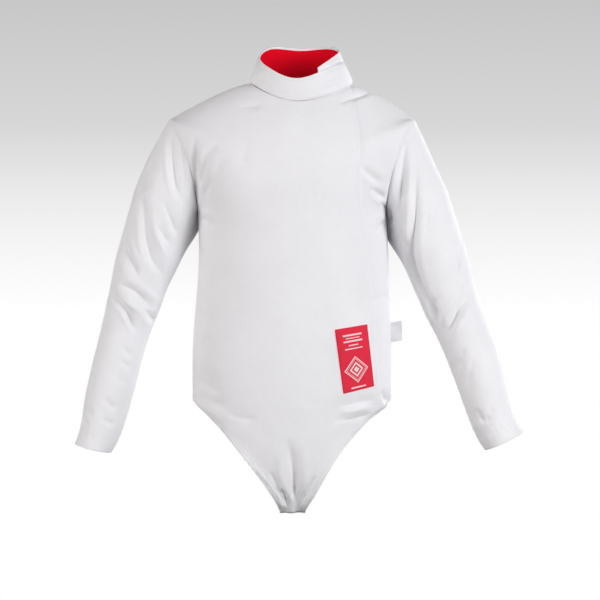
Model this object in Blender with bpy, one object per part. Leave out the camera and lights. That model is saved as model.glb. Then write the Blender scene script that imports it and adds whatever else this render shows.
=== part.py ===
"""A junior's fencing jacket, filled out as worn, with no wearer.

Metres, +Z up. The front faces -Y and the wearer's left is +X. The origin is
the middle of the neck's base, where the jacket hangs on the wearer's shoulders.

The body's rows are counted by "down": the length from the neckline along the
shoulder seam to its tip, round the armhole to the armpit, down the side seam
to the hip, and from there along the leg's edge to the tip of the tail.
"""

import bpy
import numpy as np

# Cloth
WALL = 0.0020          # two layers of jacket cloth with their seams
LINING_WALL = 0.0010
TAPE_WALL = 0.0010
SEAM = 0.0003          # the gap between pieces that are sewn together
LAP_GAP = 0.0006       # air between layers that lie on each other
LAP = WALL + LAP_GAP   # how far the front stands off the under-front
MITRE = 2.0            # the most that a seam's fold thickens the wall
FOLD_FADE = 0.35       # how far round to the side a fold reaches
FOLD_START = 0.12      # how deep a fold is at its ends, as a share of a half turn

# Where the body's rows change edge, as lengths down from the neckline
SHOULDER_TIP = 0.120
ARMPIT = 0.295
HIP = 0.577
UNDER_END = 0.600      # the lower edge of the left under-front
TAIL_TIP = 0.833

# The closure at the wearer's left
UNDER_LAP = 0.045      # how far the under-front reaches beneath the front
UNDER_SHARE = 0.30     # the same on the narrow tail, as a share of its width
LAP_RISE = 0.028       # the stretch over which the front rises onto it
LAP_EARLY = 1.15       # how much sooner it is all the way up
LAP_DROP = (0.004, 0.050)   # below the under-front, where it starts to settle and for how long

# Mesh counts
RING = 24              # columns round a sleeve, which meet the armhole's rows
UNDER_SLEEVE = (9, 17)   # between which of them the right sleeve's under piece lies
SHOULDER_ROWS = 4
SIDE_ROWS = 9
TAIL_ROWS = 9
SLEEVE_ROWS = 21
BACK_COLUMNS = 24
FRONT_COLUMNS = (17, 5, 4)   # to the under edge, to the flap's edge, to the side
COLLAR_ROWS = 4

RIM_ORDER = (0.05, 0.03, 1.0)   # the direction that decides which corner is lower

RIGHT, LEFT = -1, 1    # the wearer's sides, as signs of X


def table(columns, rows):
    """A short table as a dictionary of columns; each row starts with its name."""
    values = np.array([row[1:] for row in rows], float)
    return {name: values[:, place] for place, name in enumerate(columns)}


FRONT = table(
    ("down", "mid_x", "mid_y", "mid_z", "sweep", "rise", "flat"),
    [
        ("neckline", 0.000, 0.011, -0.062, -0.019, 90, 2.0, 1.00),
        ("upper_shoulder", 0.040, 0.008, -0.075, -0.038, 86, 2.4, 1.00),
        ("lower_shoulder", 0.080, 0.005, -0.085, -0.060, 76, 2.6, 1.00),
        ("shoulder_tip", 0.120, 0.003, -0.093, -0.084, 64, 2.6, 0.98),
        ("upper_armhole", 0.164, 0.001, -0.099, -0.112, 57, 2.4, 0.96),
        ("mid_armhole", 0.208, 0.000, -0.103, -0.140, 55, 2.2, 0.94),
        ("lower_armhole", 0.251, 0.000, -0.105, -0.169, 66, 2.0, 0.90),
        ("armpit", 0.295, 0.000, -0.106, -0.197, 90, 2.0, 0.88),
        ("chest", 0.360, 0.000, -0.106, -0.256, 90, 2.0, 0.86),
        ("waist", 0.430, 0.000, -0.105, -0.323, 90, 2.0, 0.85),
        ("belly", 0.500, 0.000, -0.104, -0.393, 90, 2.0, 0.85),
        ("hip", 0.577, 0.000, -0.099, -0.470, 90, 2.0, 0.88),
        ("upper_tail", 0.620, 0.000, -0.094, -0.503, 82, 2.0, 0.90),
        ("mid_tail", 0.670, 0.000, -0.089, -0.537, 72, 2.0, 0.95),
        ("lower_tail", 0.720, 0.000, -0.081, -0.570, 60, 2.0, 1.00),
        ("tail_end", 0.780, 0.000, -0.067, -0.603, 42, 2.0, 1.00),
        ("tail_tip", 0.833, 0.000, -0.048, -0.6250, 30, 2.0, 1.00),
    ],
)

BACK = table(
    ("down", "mid_x", "mid_y", "mid_z", "sweep", "rise", "flat"),
    [
        ("neckline", 0.000, 0.010, 0.060, 0.012, 90, 2.0, 1.00),
        ("upper_shoulder", 0.040, 0.008, 0.073, -0.010, 86, 2.4, 1.00),
        ("lower_shoulder", 0.080, 0.005, 0.083, -0.036, 76, 2.6, 1.00),
        ("shoulder_tip", 0.120, 0.003, 0.091, -0.064, 64, 2.6, 0.98),
        ("upper_armhole", 0.164, 0.001, 0.097, -0.096, 57, 2.4, 0.96),
        ("mid_armhole", 0.208, 0.000, 0.100, -0.130, 55, 2.2, 0.94),
        ("lower_armhole", 0.251, 0.000, 0.101, -0.163, 66, 2.0, 0.90),
        ("armpit", 0.295, 0.000, 0.100, -0.196, 90, 2.0, 0.88),
        ("chest", 0.360, 0.000, 0.095, -0.256, 90, 2.0, 0.86),
        ("waist", 0.430, 0.000, 0.089, -0.325, 90, 2.0, 0.85),
        ("belly", 0.500, 0.000, 0.091, -0.400, 90, 2.0, 0.85),
        ("hip", 0.577, 0.000, 0.098, -0.490, 90, 2.0, 0.88),
    ],
)

# The right and left ends of a row, as distances out from the middle plane
SHOULDER = table(
    ("down", "right_x", "left_x", "y", "right_z", "left_z"),
    [
        ("neck_point", 0.000, 0.064, 0.088, 0.0000, 0.0135, 0.0095),
        ("inner_shoulder", 0.040, 0.101, 0.119, 0.0015, 0.0010, 0.0010),
        ("outer_shoulder", 0.080, 0.143, 0.152, 0.0030, -0.0185, -0.0180),
        ("shoulder_tip", 0.120, 0.184, 0.184, 0.0040, -0.0410, -0.0410),
    ],
)

SIDE = table(
    ("down", "right_x", "left_x", "y", "right_z", "left_z"),
    [
        ("armpit", 0.295, 0.1410, 0.1410, 0.004, -0.180, -0.180),
        ("chest", 0.360, 0.1395, 0.1445, 0.003, -0.244, -0.244),
        ("waist", 0.430, 0.1435, 0.1475, 0.002, -0.314, -0.314),
        ("belly", 0.500, 0.1485, 0.1490, 0.001, -0.384, -0.384),
        ("hip", 0.577, 0.1485, 0.1480, 0.000, -0.461, -0.461),
    ],
)

LEG = table(
    ("down", "right_x", "left_x", "y", "right_z", "left_z"),
    [
        ("hip", 0.577, 0.1485, 0.1480, 0.000, -0.461, -0.461),
        ("thigh_top", 0.600, 0.1420, 0.1390, -0.024, -0.467, -0.468),
        ("thigh", 0.640, 0.1175, 0.1140, -0.056, -0.488, -0.488),
        ("groin_top", 0.700, 0.0765, 0.0695, -0.079, -0.535, -0.537),
        ("groin", 0.760, 0.0425, 0.0440, -0.077, -0.579, -0.579),
        ("tail_end", 0.805, 0.0235, 0.0265, -0.060, -0.610, -0.611),
        ("tail_tip", 0.833, 0.0165, 0.0190, -0.045, -0.6245, -0.6230),
    ],
)

FLAP = table(
    ("down", "x"),
    [
        ("collar_corner", 0.000, 0.0865),
        ("below_collar", 0.040, 0.0870),
        ("shoulder", 0.120, 0.0887),
        ("armpit", 0.295, 0.1007),
        ("waist", 0.430, 0.1141),
        ("hip", 0.577, 0.1295),
        ("under_end", 0.600, 0.1325),
    ],
)

SLEEVE_COLUMNS = ("outer_x", "outer_z", "inner_x", "inner_z", "mid_y", "half_y", "bow")

RIGHT_SLEEVE = table(
    SLEEVE_COLUMNS,
    [
        ("armhole", 0.1840, -0.041, 0.1410, -0.1800, 0.004, 0.0525, 0.010),
        ("cap", 0.2000, -0.070, 0.1470, -0.1920, 0.004, 0.0540, 0.008),
        ("upper", 0.2190, -0.106, 0.1535, -0.2090, 0.003, 0.0540, 0.005),
        ("bicep", 0.2365, -0.150, 0.1620, -0.2335, 0.001, 0.0520, 0.002),
        ("mid_upper", 0.2500, -0.200, 0.1715, -0.2620, 0.000, 0.0490, 0.000),
        ("above_elbow", 0.2635, -0.247, 0.1855, -0.2910, 0.000, 0.0450, 0.000),
        ("elbow", 0.2720, -0.292, 0.1990, -0.3280, -0.002, 0.0420, 0.000),
        ("below_elbow", 0.2820, -0.340, 0.2135, -0.3650, -0.007, 0.0400, 0.000),
        ("forearm", 0.2955, -0.3975, 0.2270, -0.4135, -0.016, 0.0370, 0.000),
        ("lower", 0.3075, -0.4585, 0.2420, -0.4725, -0.027, 0.0345, 0.000),
        ("wrist", 0.3135, -0.5010, 0.2540, -0.5115, -0.035, 0.0310, 0.000),
        ("cuff", 0.3205, -0.5240, 0.2675, -0.5370, -0.040, 0.0300, 0.000),
    ],
)

LEFT_SLEEVE = table(
    SLEEVE_COLUMNS,
    [
        ("armhole", 0.1840, -0.041, 0.1410, -0.1800, 0.004, 0.0525, 0.010),
        ("cap", 0.1985, -0.072, 0.1460, -0.1930, 0.004, 0.0540, 0.008),
        ("upper", 0.2140, -0.108, 0.1525, -0.2140, 0.003, 0.0540, 0.005),
        ("bicep", 0.2320, -0.148, 0.1600, -0.2400, 0.001, 0.0520, 0.002),
        ("mid_upper", 0.2480, -0.196, 0.1715, -0.2700, 0.000, 0.0490, 0.000),
        ("above_elbow", 0.2620, -0.242, 0.1865, -0.3030, 0.000, 0.0450, 0.000),
        ("elbow", 0.2735, -0.291, 0.2040, -0.3410, -0.002, 0.0420, 0.000),
        ("below_elbow", 0.2895, -0.338, 0.2225, -0.3790, -0.007, 0.0400, 0.000),
        ("forearm", 0.3045, -0.3855, 0.2415, -0.4265, -0.016, 0.0370, 0.000),
        ("lower", 0.3180, -0.4390, 0.2570, -0.4735, -0.027, 0.0345, 0.000),
        ("wrist", 0.3295, -0.4850, 0.2720, -0.5110, -0.035, 0.0310, 0.000),
        ("cuff", 0.3425, -0.5055, 0.2850, -0.5335, -0.040, 0.0300, 0.000),
    ],
)

# The collar runs as one spiral: degrees from the front's middle towards the
# wearer's left, starting under the lap and ending on top of it one turn later
COLLAR_START, COLLAR_END = 27.0, 440.0
COLLAR_LAP = (350.0, 385.0)      # where its outer end rises onto its inner end
COLLAR_OFFSET = 0.0036           # how far the outer end stands out there
COLLAR_RAISE = 0.0024            # and how far its lower edge is lifted
COLLAR_COLUMNS = 52
RIM_CENTRE = (0.012, -0.008)
RIM_HALF = (0.066, 0.056)
RIM = table(
    ("turn", "z"),
    [
        ("under_end", 27, 0.0290),
        ("under_left", 60, 0.0440),
        ("left", 90, 0.0560),
        ("back_left", 135, 0.0680),
        ("back", 180, 0.0725),
        ("back_right", 225, 0.0640),
        ("right", 270, 0.0450),
        ("front_right", 315, 0.0220),
        ("front", 360, 0.0110),
        ("lap", 387, 0.0160),
        ("lap_left", 415, 0.0280),
        ("lap_end", 440, 0.0400),
    ],
)
# The height at which the collar's slope reaches the rim's own width all round
SLOPE = table(
    ("turn", "z"),
    [
        ("front", 0, 0.0200),
        ("front_left", 45, 0.0390),
        ("left", 90, 0.0560),
        ("back_left", 135, 0.0680),
        ("back", 180, 0.0725),
        ("back_right", 225, 0.0640),
        ("right", 270, 0.0450),
        ("front_right", 315, 0.0260),
        ("front_again", 360, 0.0200),
    ],
)

# The strap's middle line, from the tail's tip under to inside the back's hem
STRAP_HALF = 0.0180
STRAP_ROWS = 12
STRAP_SETTLE = 0.045   # where the tail's gathers have run out
STRAP = table(
    ("y", "z"),
    [
        ("tail_tip", -0.0460, -0.6240),
        ("under_front", -0.0150, -0.6290),
        ("under_back", 0.0280, -0.6195),
        ("rise", 0.0640, -0.5920),
        ("seat", 0.0850, -0.5480),
        ("below_hem", 0.0925, -0.5080),
        ("inside_hem", 0.0932, -0.4720),
    ],
)

# The woven patch on the front, by its corners as seen from the front
LABEL_LIFT = 0.0005
LABEL_WALL = 0.0010
LABEL_GRID = (8, 5)
LABEL = table(
    ("x", "z"),
    [
        ("top_right", 0.0630, -0.3555),
        ("top_left", 0.1095, -0.3480),
        ("bottom_right", 0.0755, -0.4480),
        ("bottom_left", 0.1200, -0.4380),
    ],
)

# The folded tape in the left side seam
TAPE_TOP, TAPE_BOTTOM = -0.3465, -0.3750
TAPE_OUT = 0.0165
TAPE_DEEP = 0.0026
TAPE_TILT = 0.0030
TAPE_Y = 0.0020        # the side seam's place there
TAPE_FOLD_POINTS = 7   # round its folded end
TAPE_ROWS = 4

# The largest folds of the cloth. Each follows two or three points as seen from
# the front or the back; a positive depth sinks in, and a negative one stands out
FOLD_COLUMNS = ("x0", "z0", "x1", "z1", "x2", "z2", "width", "depth")
FRONT_FOLDS = table(
    FOLD_COLUMNS,
    [
        ("right_armpit", -0.143, -0.070, -0.139, -0.120, -0.140, -0.165, 0.011, 0.0050),
        ("right_chest", -0.120, -0.091, -0.129, -0.106, -0.138, -0.121, 0.010, 0.0030),
        ("left_chest", 0.103, -0.114, 0.119, -0.126, 0.135, -0.138, 0.010, 0.0028),
        ("left_armpit", 0.128, -0.150, 0.136, -0.158, 0.144, -0.166, 0.010, 0.0030),
        ("hip_crease", 0.040, -0.470, 0.085, -0.462, 0.132, -0.452, 0.011, 0.0035),
        ("hip_roll", 0.060, -0.492, 0.090, -0.484, 0.118, -0.474, 0.011, -0.0020),
        ("right_hip", -0.145, -0.430, -0.122, -0.440, -0.100, -0.450, 0.014, 0.0035),
        ("low_right", -0.095, -0.470, -0.070, -0.476, -0.045, -0.478, 0.012, 0.0025),
        ("tail_groove", -0.006, -0.507, 0.001, -0.567, 0.000, -0.630, 0.010, 0.0060),
        ("right_sleeve_head", -0.180, -0.053, -0.181, -0.120, -0.162, -0.168, 0.010, 0.0045),
        ("right_sleeve_arc", -0.209, -0.111, -0.214, -0.215, -0.186, -0.280, 0.012, 0.0040),
        ("right_upper_arm", -0.248, -0.210, -0.238, -0.258, -0.222, -0.284, 0.011, 0.0030),
        ("right_elbow", -0.271, -0.295, -0.252, -0.321, -0.234, -0.350, 0.011, 0.0055),
        ("right_elbow_top", -0.263, -0.289, -0.240, -0.304, -0.219, -0.320, 0.010, 0.0030),
        ("right_wrist", -0.279, -0.458, -0.267, -0.468, -0.255, -0.476, 0.010, 0.0022),
        ("left_sleeve_long", 0.187, -0.106, 0.180, -0.230, 0.208, -0.338, 0.011, 0.0035),
        ("left_sleeve_head", 0.166, -0.087, 0.163, -0.150, 0.158, -0.222, 0.010, 0.0040),
        ("left_elbow", 0.274, -0.297, 0.250, -0.340, 0.226, -0.380, 0.011, 0.0050),
        ("left_upper_arm", 0.259, -0.234, 0.252, -0.252, 0.244, -0.270, 0.010, 0.0028),
    ],
)
BACK_FOLDS = table(
    FOLD_COLUMNS,
    [
        ("right_blade", -0.140, -0.090, -0.134, -0.140, -0.118, -0.176, 0.012, 0.0040),
        ("left_blade", 0.141, -0.082, 0.137, -0.134, 0.124, -0.170, 0.012, 0.0042),
        ("small_of_back", -0.090, -0.318, -0.010, -0.330, 0.082, -0.312, 0.015, 0.0040),
        ("waist_roll", -0.070, -0.352, 0.010, -0.358, 0.100, -0.348, 0.014, -0.0025),
        ("left_hip", 0.140, -0.405, 0.105, -0.422, 0.070, -0.428, 0.013, 0.0030),
        ("right_hip", -0.142, -0.392, -0.112, -0.414, -0.074, -0.424, 0.013, 0.0032),
        ("right_elbow", -0.268, -0.300, -0.240, -0.312, -0.214, -0.318, 0.012, 0.0035),
        ("right_upper_arm", -0.232, -0.180, -0.214, -0.222, -0.190, -0.250, 0.012, 0.0032),
        ("left_elbow", 0.272, -0.302, 0.246, -0.322, 0.218, -0.330, 0.012, 0.0035),
        ("left_upper_arm", 0.230, -0.176, 0.214, -0.228, 0.192, -0.262, 0.012, 0.0030),
    ],
)

COLOURS = {
    "white_cloth": ((0.84, 0.85, 0.86, 1.0), 0.62),
    "red_lining": ((0.62, 0.01, 0.03, 1.0), 0.70),
    "red_patch": ((0.70, 0.02, 0.06, 1.0), 0.55),
    "white_tape": ((0.80, 0.81, 0.82, 1.0), 0.45),
}


def spline(knots, values, at):
    """A natural cubic curve through the values, read at the given places."""
    count = len(knots)
    step = np.diff(knots)
    slope = np.diff(values) / step
    system = np.eye(count)
    load = np.zeros(count)
    for i in range(1, count - 1):
        system[i, i - 1:i + 2] = step[i - 1], 2 * (step[i - 1] + step[i]), step[i]
        load[i] = 6 * (slope[i] - slope[i - 1])
    bend = np.linalg.solve(system, load)
    at = np.asarray(at, float)
    i = np.clip(np.searchsorted(knots, at, side="right") - 1, 0, count - 2)
    on, left = at - knots[i], knots[i + 1] - at
    return (
        (bend[i] * left**3 + bend[i + 1] * on**3) / (6 * step[i])
        + (values[i] / step[i] - bend[i] * step[i] / 6) * left
        + (values[i + 1] / step[i] - bend[i + 1] * step[i] / 6) * on
    )


def smooth(share):
    """A soft step from 0 to 1."""
    share = np.clip(share, 0.0, 1.0)
    return share * share * (3 - 2 * share)


def unit(vectors):
    """The vectors at length one."""
    return vectors / np.maximum(np.linalg.norm(vectors, axis=-1, keepdims=True), 1e-12)


def sleeve_ring(rows, side, place, turn):
    """Points round a sleeve. Place counts the table's rows and turn is in degrees:
    0 at the outer edge, 90 in front and 180 at the inner edge."""
    steps = np.arange(len(rows["bow"]), dtype=float)
    row = {name: spline(steps, values, place) for name, values in rows.items()}
    turn = np.radians(turn)
    across = np.cos(turn)
    x = (row["outer_x"] + row["inner_x"]) / 2 + (row["outer_x"] - row["inner_x"]) / 2 * across
    z = (row["outer_z"] + row["inner_z"]) / 2 + (row["outer_z"] - row["inner_z"]) / 2 * across
    x = x - row["bow"] * np.sin(turn) ** 2
    y = row["mid_y"] - row["half_y"] * np.sin(turn)
    return np.stack([side * x, y, z], axis=-1)


def edge_point(side, front, down):
    """Where a body row ends: on the shoulder, armhole, side seam or leg's edge."""
    name = "right" if side == RIGHT else "left"
    point = np.zeros(down.shape + (3,))
    for rows, low, high in (
            (SHOULDER, 0.0, SHOULDER_TIP), (SIDE, ARMPIT, HIP), (LEG, HIP, TAIL_TIP)):
        here = (down >= low) & (down <= high)
        at = down[here]
        point[here] = np.stack([
            side * spline(rows["down"], rows[name + "_x"], at),
            spline(rows["down"], rows["y"], at),
            spline(rows["down"], rows[name + "_z"], at)], axis=-1)
    here = (down > SHOULDER_TIP) & (down < ARMPIT)
    turn = 180 * (down[here] - SHOULDER_TIP) / (ARMPIT - SHOULDER_TIP)
    sleeve = RIGHT_SLEEVE if side == RIGHT else LEFT_SLEEVE
    point[here] = sleeve_ring(sleeve, side, np.zeros_like(turn), turn if front else -turn)
    return point


def panel_point(rows, front, down, share):
    """The body's surface: down is a row's place, and share runs from -1 at the
    wearer's right edge to 1 at the left."""
    row = {name: spline(rows["down"], values, down) for name, values in rows.items()}
    edge = np.where(
        (share < 0)[..., None], edge_point(RIGHT, front, down), edge_point(LEFT, front, down))
    sweep = np.radians(np.minimum(row["sweep"], 90.0))
    turn = sweep * np.abs(share)
    across = np.sin(turn) / np.sin(sweep)
    ahead = np.maximum((np.cos(turn) - np.cos(sweep)) / (1 - np.cos(sweep)), 0.0) ** row["flat"]
    up = np.sin(np.abs(share) * np.pi / 2) ** row["rise"]
    return np.stack([
        row["mid_x"] + (edge[..., 0] - row["mid_x"]) * across,
        edge[..., 1] + (row["mid_y"] - edge[..., 1]) * ahead,
        row["mid_z"] + (edge[..., 2] - row["mid_z"]) * up], axis=-1)


def share_at(down, x):
    """The front row's share at which the cloth lies x from the middle plane."""
    mid = spline(FRONT["down"], FRONT["mid_x"], down)
    sweep = np.radians(np.minimum(spline(FRONT["down"], FRONT["sweep"], down), 90.0))
    edge = edge_point(LEFT, True, down)[..., 0]
    across = np.clip((x - mid) / (edge - mid), -1.0, 1.0)
    return np.arcsin(across * np.sin(sweep)) / sweep


def front_columns(down):
    """Shares of every front column in each row, with the flap's edge and the
    under-front's edge among them, and the X of the under-front's edge."""
    flap_x = np.interp(down, FLAP["down"], FLAP["x"])
    left = edge_point(LEFT, True, down)[..., 0]
    right = edge_point(RIGHT, True, down)[..., 0]
    flap_x = np.where(down > UNDER_END, left, flap_x)
    under_x = flap_x - np.minimum(UNDER_LAP, UNDER_SHARE * (left - right))
    flap, under = share_at(down, flap_x), share_at(down, under_x)
    to_under, to_flap, to_side = FRONT_COLUMNS
    shares = np.concatenate([
        -1 + (under[:, None] + 1) * np.linspace(0, 1, to_under + 1),
        under[:, None] + (flap - under)[:, None] * np.linspace(0, 1, to_flap + 1)[1:],
        flap[:, None] + (1 - flap)[:, None] * np.linspace(0, 1, to_side + 1)[1:]], axis=1)
    return shares, under_x


def grid_normals(points, ring=False):
    """The outward direction at each point of a grid of rows and columns."""
    along = np.gradient(points, axis=0)
    if ring:
        round_it = np.roll(points, -1, axis=1) - np.roll(points, 1, axis=1)
    else:
        round_it = np.gradient(points, axis=1)
    return unit(np.cross(along, round_it))


def shared_normals(grids):
    """One direction, and one mitre, for all the points that meet at a seam. The
    body's panels count as one there and a sleeve as the other."""
    met = {}
    keys = [np.round(grid["points"] * 1e5).astype(int) for grid in grids]
    for grid, key in zip(grids, keys):
        for place in np.ndindex(key.shape[:2]):
            kinds = met.setdefault(tuple(key[place]), {})
            kinds[grid["ring"]] = kinds.get(grid["ring"], 0) + grid["normals"][place]
    for grid, key in zip(grids, keys):
        grid["mitre"] = np.ones(key.shape[:2])
        for place in np.ndindex(key.shape[:2]):
            kinds = met[tuple(key[place])]
            total = sum(unit(kind) for kind in kinds.values())
            length = np.linalg.norm(total)
            grid["normals"][place] = total / length
            grid["mitre"][place] = min(len(kinds) / length, MITRE)


def fold_depth(points, normals):
    """How far the folds sink the cloth at each point."""
    depth = np.zeros(points.shape[:2])
    for folds, facing in ((FRONT_FOLDS, -1), (BACK_FOLDS, 1)):
        seen = smooth(facing * normals[..., 1] / FOLD_FADE)
        for i in range(len(folds["depth"])):
            fold = {name: values[i] for name, values in folds.items()}
            line = np.array([[fold["x0"], fold["z0"]], [fold["x1"], fold["z1"]],
                             [fold["x2"], fold["z2"]]])
            depth += fold["depth"] * seen * crease(points[..., [0, 2]], line, fold["width"])
    return depth


def crease(flat, line, width):
    """A soft trough along a line of three points: 1 along its middle, 0 away from it."""
    nearest = np.full(flat.shape[:2], np.inf)
    along = np.zeros(flat.shape[:2])
    for i in range(2):
        run = line[i + 1] - line[i]
        place = np.clip((flat - line[i]) @ run / (run @ run), 0.0, 1.0)
        away = np.linalg.norm(flat - line[i] - place[..., None] * run, axis=-1)
        along = np.where(away < nearest, (i + place) / 2, along)
        nearest = np.minimum(away, nearest)
    ends = np.sin(np.pi * (FOLD_START + (1 - 2 * FOLD_START) * along))
    return np.exp(-(nearest / width) ** 2) * ends


def seam_shift(points, normals, edges):
    """Moves a grid's sewn edges back by half of the seam's gap."""
    moved = points.copy()
    for edge in edges:
        if edge in ("top", "bottom"):
            here, next_in = (0, 1) if edge == "top" else (-1, -2)
            line, inner, up = points[here], points[next_in], normals[here]
            where = (here, slice(None))
        else:
            here, next_in = (0, 1) if edge == "first" else (-1, -2)
            line, inner, up = points[:, here], points[:, next_in], normals[:, here]
            where = (slice(None), here)
        side = unit(np.cross(np.gradient(line, axis=0), up))
        side = side * np.sign(np.sum(side * (inner - line), axis=-1, keepdims=True))
        moved[where] += side * SEAM / 2
    return moved


def material(name):
    """A plain finish in the piece's colour."""
    if name in bpy.data.materials:
        return bpy.data.materials[name]
    made = bpy.data.materials.new(name)
    made.use_nodes = True
    shader = made.node_tree.nodes["Principled BSDF"]
    colour, roughness = COLOURS[name]
    shader.inputs["Base Color"].default_value = colour
    shader.inputs["Roughness"].default_value = roughness
    shader.inputs["Metallic"].default_value = 0.0
    return made


def rim(points, first, second, below_second, below_first):
    """Two triangles across a wall's edge, cut from its lower corner, so that the
    pieces on both sides of a seam are cut alike."""
    height = points @ RIM_ORDER
    if height[first] < height[second]:
        return [[first, second, below_second], [first, below_second, below_first]]
    return [[second, below_second, below_first], [second, below_first, first]]


def wall(name, outer, inner, finish):
    """A closed piece of cloth between an outer and an inner grid of points."""
    rows, columns = outer.shape[:2]
    number = np.arange(rows * columns).reshape(rows, columns)
    under = number + rows * columns
    faces = []
    for r in range(rows - 1):
        for c in range(columns - 1):
            a, b = number[r:r + 2, c:c + 2], under[r:r + 2, c:c + 2]
            faces.append([a[0, 0], a[1, 0], a[1, 1], a[0, 1]])
            faces.append([b[0, 0], b[0, 1], b[1, 1], b[1, 0]])
    points = np.concatenate([outer.reshape(-1, 3), inner.reshape(-1, 3)])
    edges = [
        (number[0], under[0]),
        (number[-1, ::-1], under[-1, ::-1]),
        (number[::-1, 0], under[::-1, 0]),
        (number[:, -1], under[:, -1]),
    ]
    for top, bottom in edges:
        for i in range(len(top) - 1):
            faces += rim(points, top[i], top[i + 1], bottom[i + 1], bottom[i])
    mesh = bpy.data.meshes.new(name)
    mesh.from_pydata(points.tolist(), [], [[int(i) for i in face] for face in faces])
    mesh.materials.append(material(finish))
    mesh.shade_smooth()
    mesh.set_sharp_from_angle(angle=np.radians(50))
    bpy.context.scene.collection.objects.link(bpy.data.objects.new(name, mesh))


def front_rows(last):
    """The places of the front's rows, down to the under-front's end or the tail's tip."""
    shoulder = np.linspace(0.0, SHOULDER_TIP, SHOULDER_ROWS + 1)
    armhole = np.linspace(SHOULDER_TIP, ARMPIT, RING // 2 + 1)
    side = np.linspace(ARMPIT, HIP, SIDE_ROWS + 1)
    tail = np.linspace(UNDER_END, TAIL_TIP, TAIL_ROWS)
    rows = np.concatenate([shoulder, armhole[1:], side[1:], tail])
    return rows[rows <= last + 1e-9]


def body_grids():
    """The outer surfaces of the front, under-front, back and sleeves, meeting at their seams."""
    down = front_rows(TAIL_TIP)
    shares, under_x = front_columns(down)
    places = np.broadcast_to(down[:, None], shares.shape)
    front = panel_point(FRONT, True, places, shares)
    down_back = front_rows(HIP)
    back_shares = np.linspace(1, -1, BACK_COLUMNS + 1)
    places, back_shares = np.meshgrid(down_back, back_shares, indexing="ij")
    grids = {
        "front": {"points": front},
        "back": {"points": panel_point(BACK, False, places, back_shares)},
    }
    for name, rows, side in (("right_sleeve", RIGHT_SLEEVE, RIGHT), ("left_sleeve", LEFT_SLEEVE, LEFT)):
        place = np.linspace(0, len(rows["bow"]) - 1, SLEEVE_ROWS + 1)
        turn = -side * np.arange(RING) * 360.0 / RING
        place, turn = np.meshgrid(place, turn, indexing="ij")
        grids[name] = {"points": sleeve_ring(rows, side, place, turn)}
    grids["strap"] = {"points": strap_points(front[-1, :sum(FRONT_COLUMNS[:2]) + 1])}
    for name, grid in grids.items():
        grid["ring"] = name.endswith("sleeve")
        grid["normals"] = grid_normals(grid["points"], grid["ring"])
    shared_normals(list(grids.values()))
    for grid in grids.values():
        depth = fold_depth(grid["points"], grid["normals"])
        grid["points"] = grid["points"] - depth[..., None] * grid["normals"]
    grids["front"]["down"], grids["front"]["under_x"] = down, under_x
    return grids


def inner_points(grid, thickness, lift=0.0):
    """The inner side of a wall, thicker where a seam folds it."""
    return grid["points"] + (lift - thickness * grid["mitre"])[..., None] * grid["normals"]


def make_front(grid):
    """The front, which rises onto the under-front, and the under-front itself."""
    down = grid["down"]
    edge = sum(FRONT_COLUMNS[:2]) + 1
    x = grid["points"][..., 0]
    rise = smooth((x - grid["under_x"][:, None] + LAP_RISE) / LAP_RISE * LAP_EARLY)
    settle = 1 - smooth((down - UNDER_END - LAP_DROP[0]) / LAP_DROP[1])
    lift = (LAP * rise * settle[:, None])[:, :edge]
    front = {name: grid[name][:, :edge] for name in ("points", "normals", "mitre")}
    sewn = seam_shift(grid["points"], grid["normals"], ["first", "bottom"])
    outer = sewn[:, :edge] + lift[..., None] * front["normals"]
    inner = inner_points(front, WALL, lift) + (sewn[:, :edge] - front["points"])
    wall("front_panel", outer, inner, "white_cloth")

    start = FRONT_COLUMNS[0]
    rows = down <= UNDER_END + 1e-9
    under = {name: grid[name][rows][:, start:] for name in ("points", "normals", "mitre")}
    shift = seam_shift(under["points"], under["normals"], ["last"]) - under["points"]
    wall("left_front_panel", under["points"] + shift, inner_points(under, WALL) + shift, "white_cloth")


def make_back(grid):
    """The back, from the neckline to its hem."""
    shift = seam_shift(grid["points"], grid["normals"], ["first", "last"]) - grid["points"]
    wall("back_panel", grid["points"] + shift, inner_points(grid, WALL) + shift, "white_cloth")


def make_sleeve(side, grid):
    """A sleeve of two pieces, whose long seams run down the arm's inner side."""
    name = "right" if side == RIGHT else "left"
    first, last = UNDER_SLEEVE if side == RIGHT else (RING - UNDER_SLEEVE[1], RING - UNDER_SLEEVE[0])
    for piece, columns in (
            (name + "_sleeve", np.arange(last, first + RING + 1) % RING),
            (name + "_under_sleeve", np.arange(first, last + 1))):
        part = {kind: grid[kind][:, columns] for kind in ("points", "normals", "mitre")}
        points = part["points"]
        shift = seam_shift(points, part["normals"], ["top", "first", "last"]) - points
        wall(piece, points + shift, inner_points(part, WALL) + shift, "white_cloth")


def neckline(turn):
    """A point on the neckline, by degrees from the front's middle towards the wearer's left."""
    turn = (turn + 90.0) % 360.0 - 90.0
    top = np.zeros_like(turn)
    front = panel_point(FRONT, True, top, np.clip(turn / 90.0, -1, 1))
    back = panel_point(BACK, False, top, np.clip((180.0 - turn) / 90.0, -1, 1))
    return np.where((turn <= 90.0)[..., None], front, back)


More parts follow.
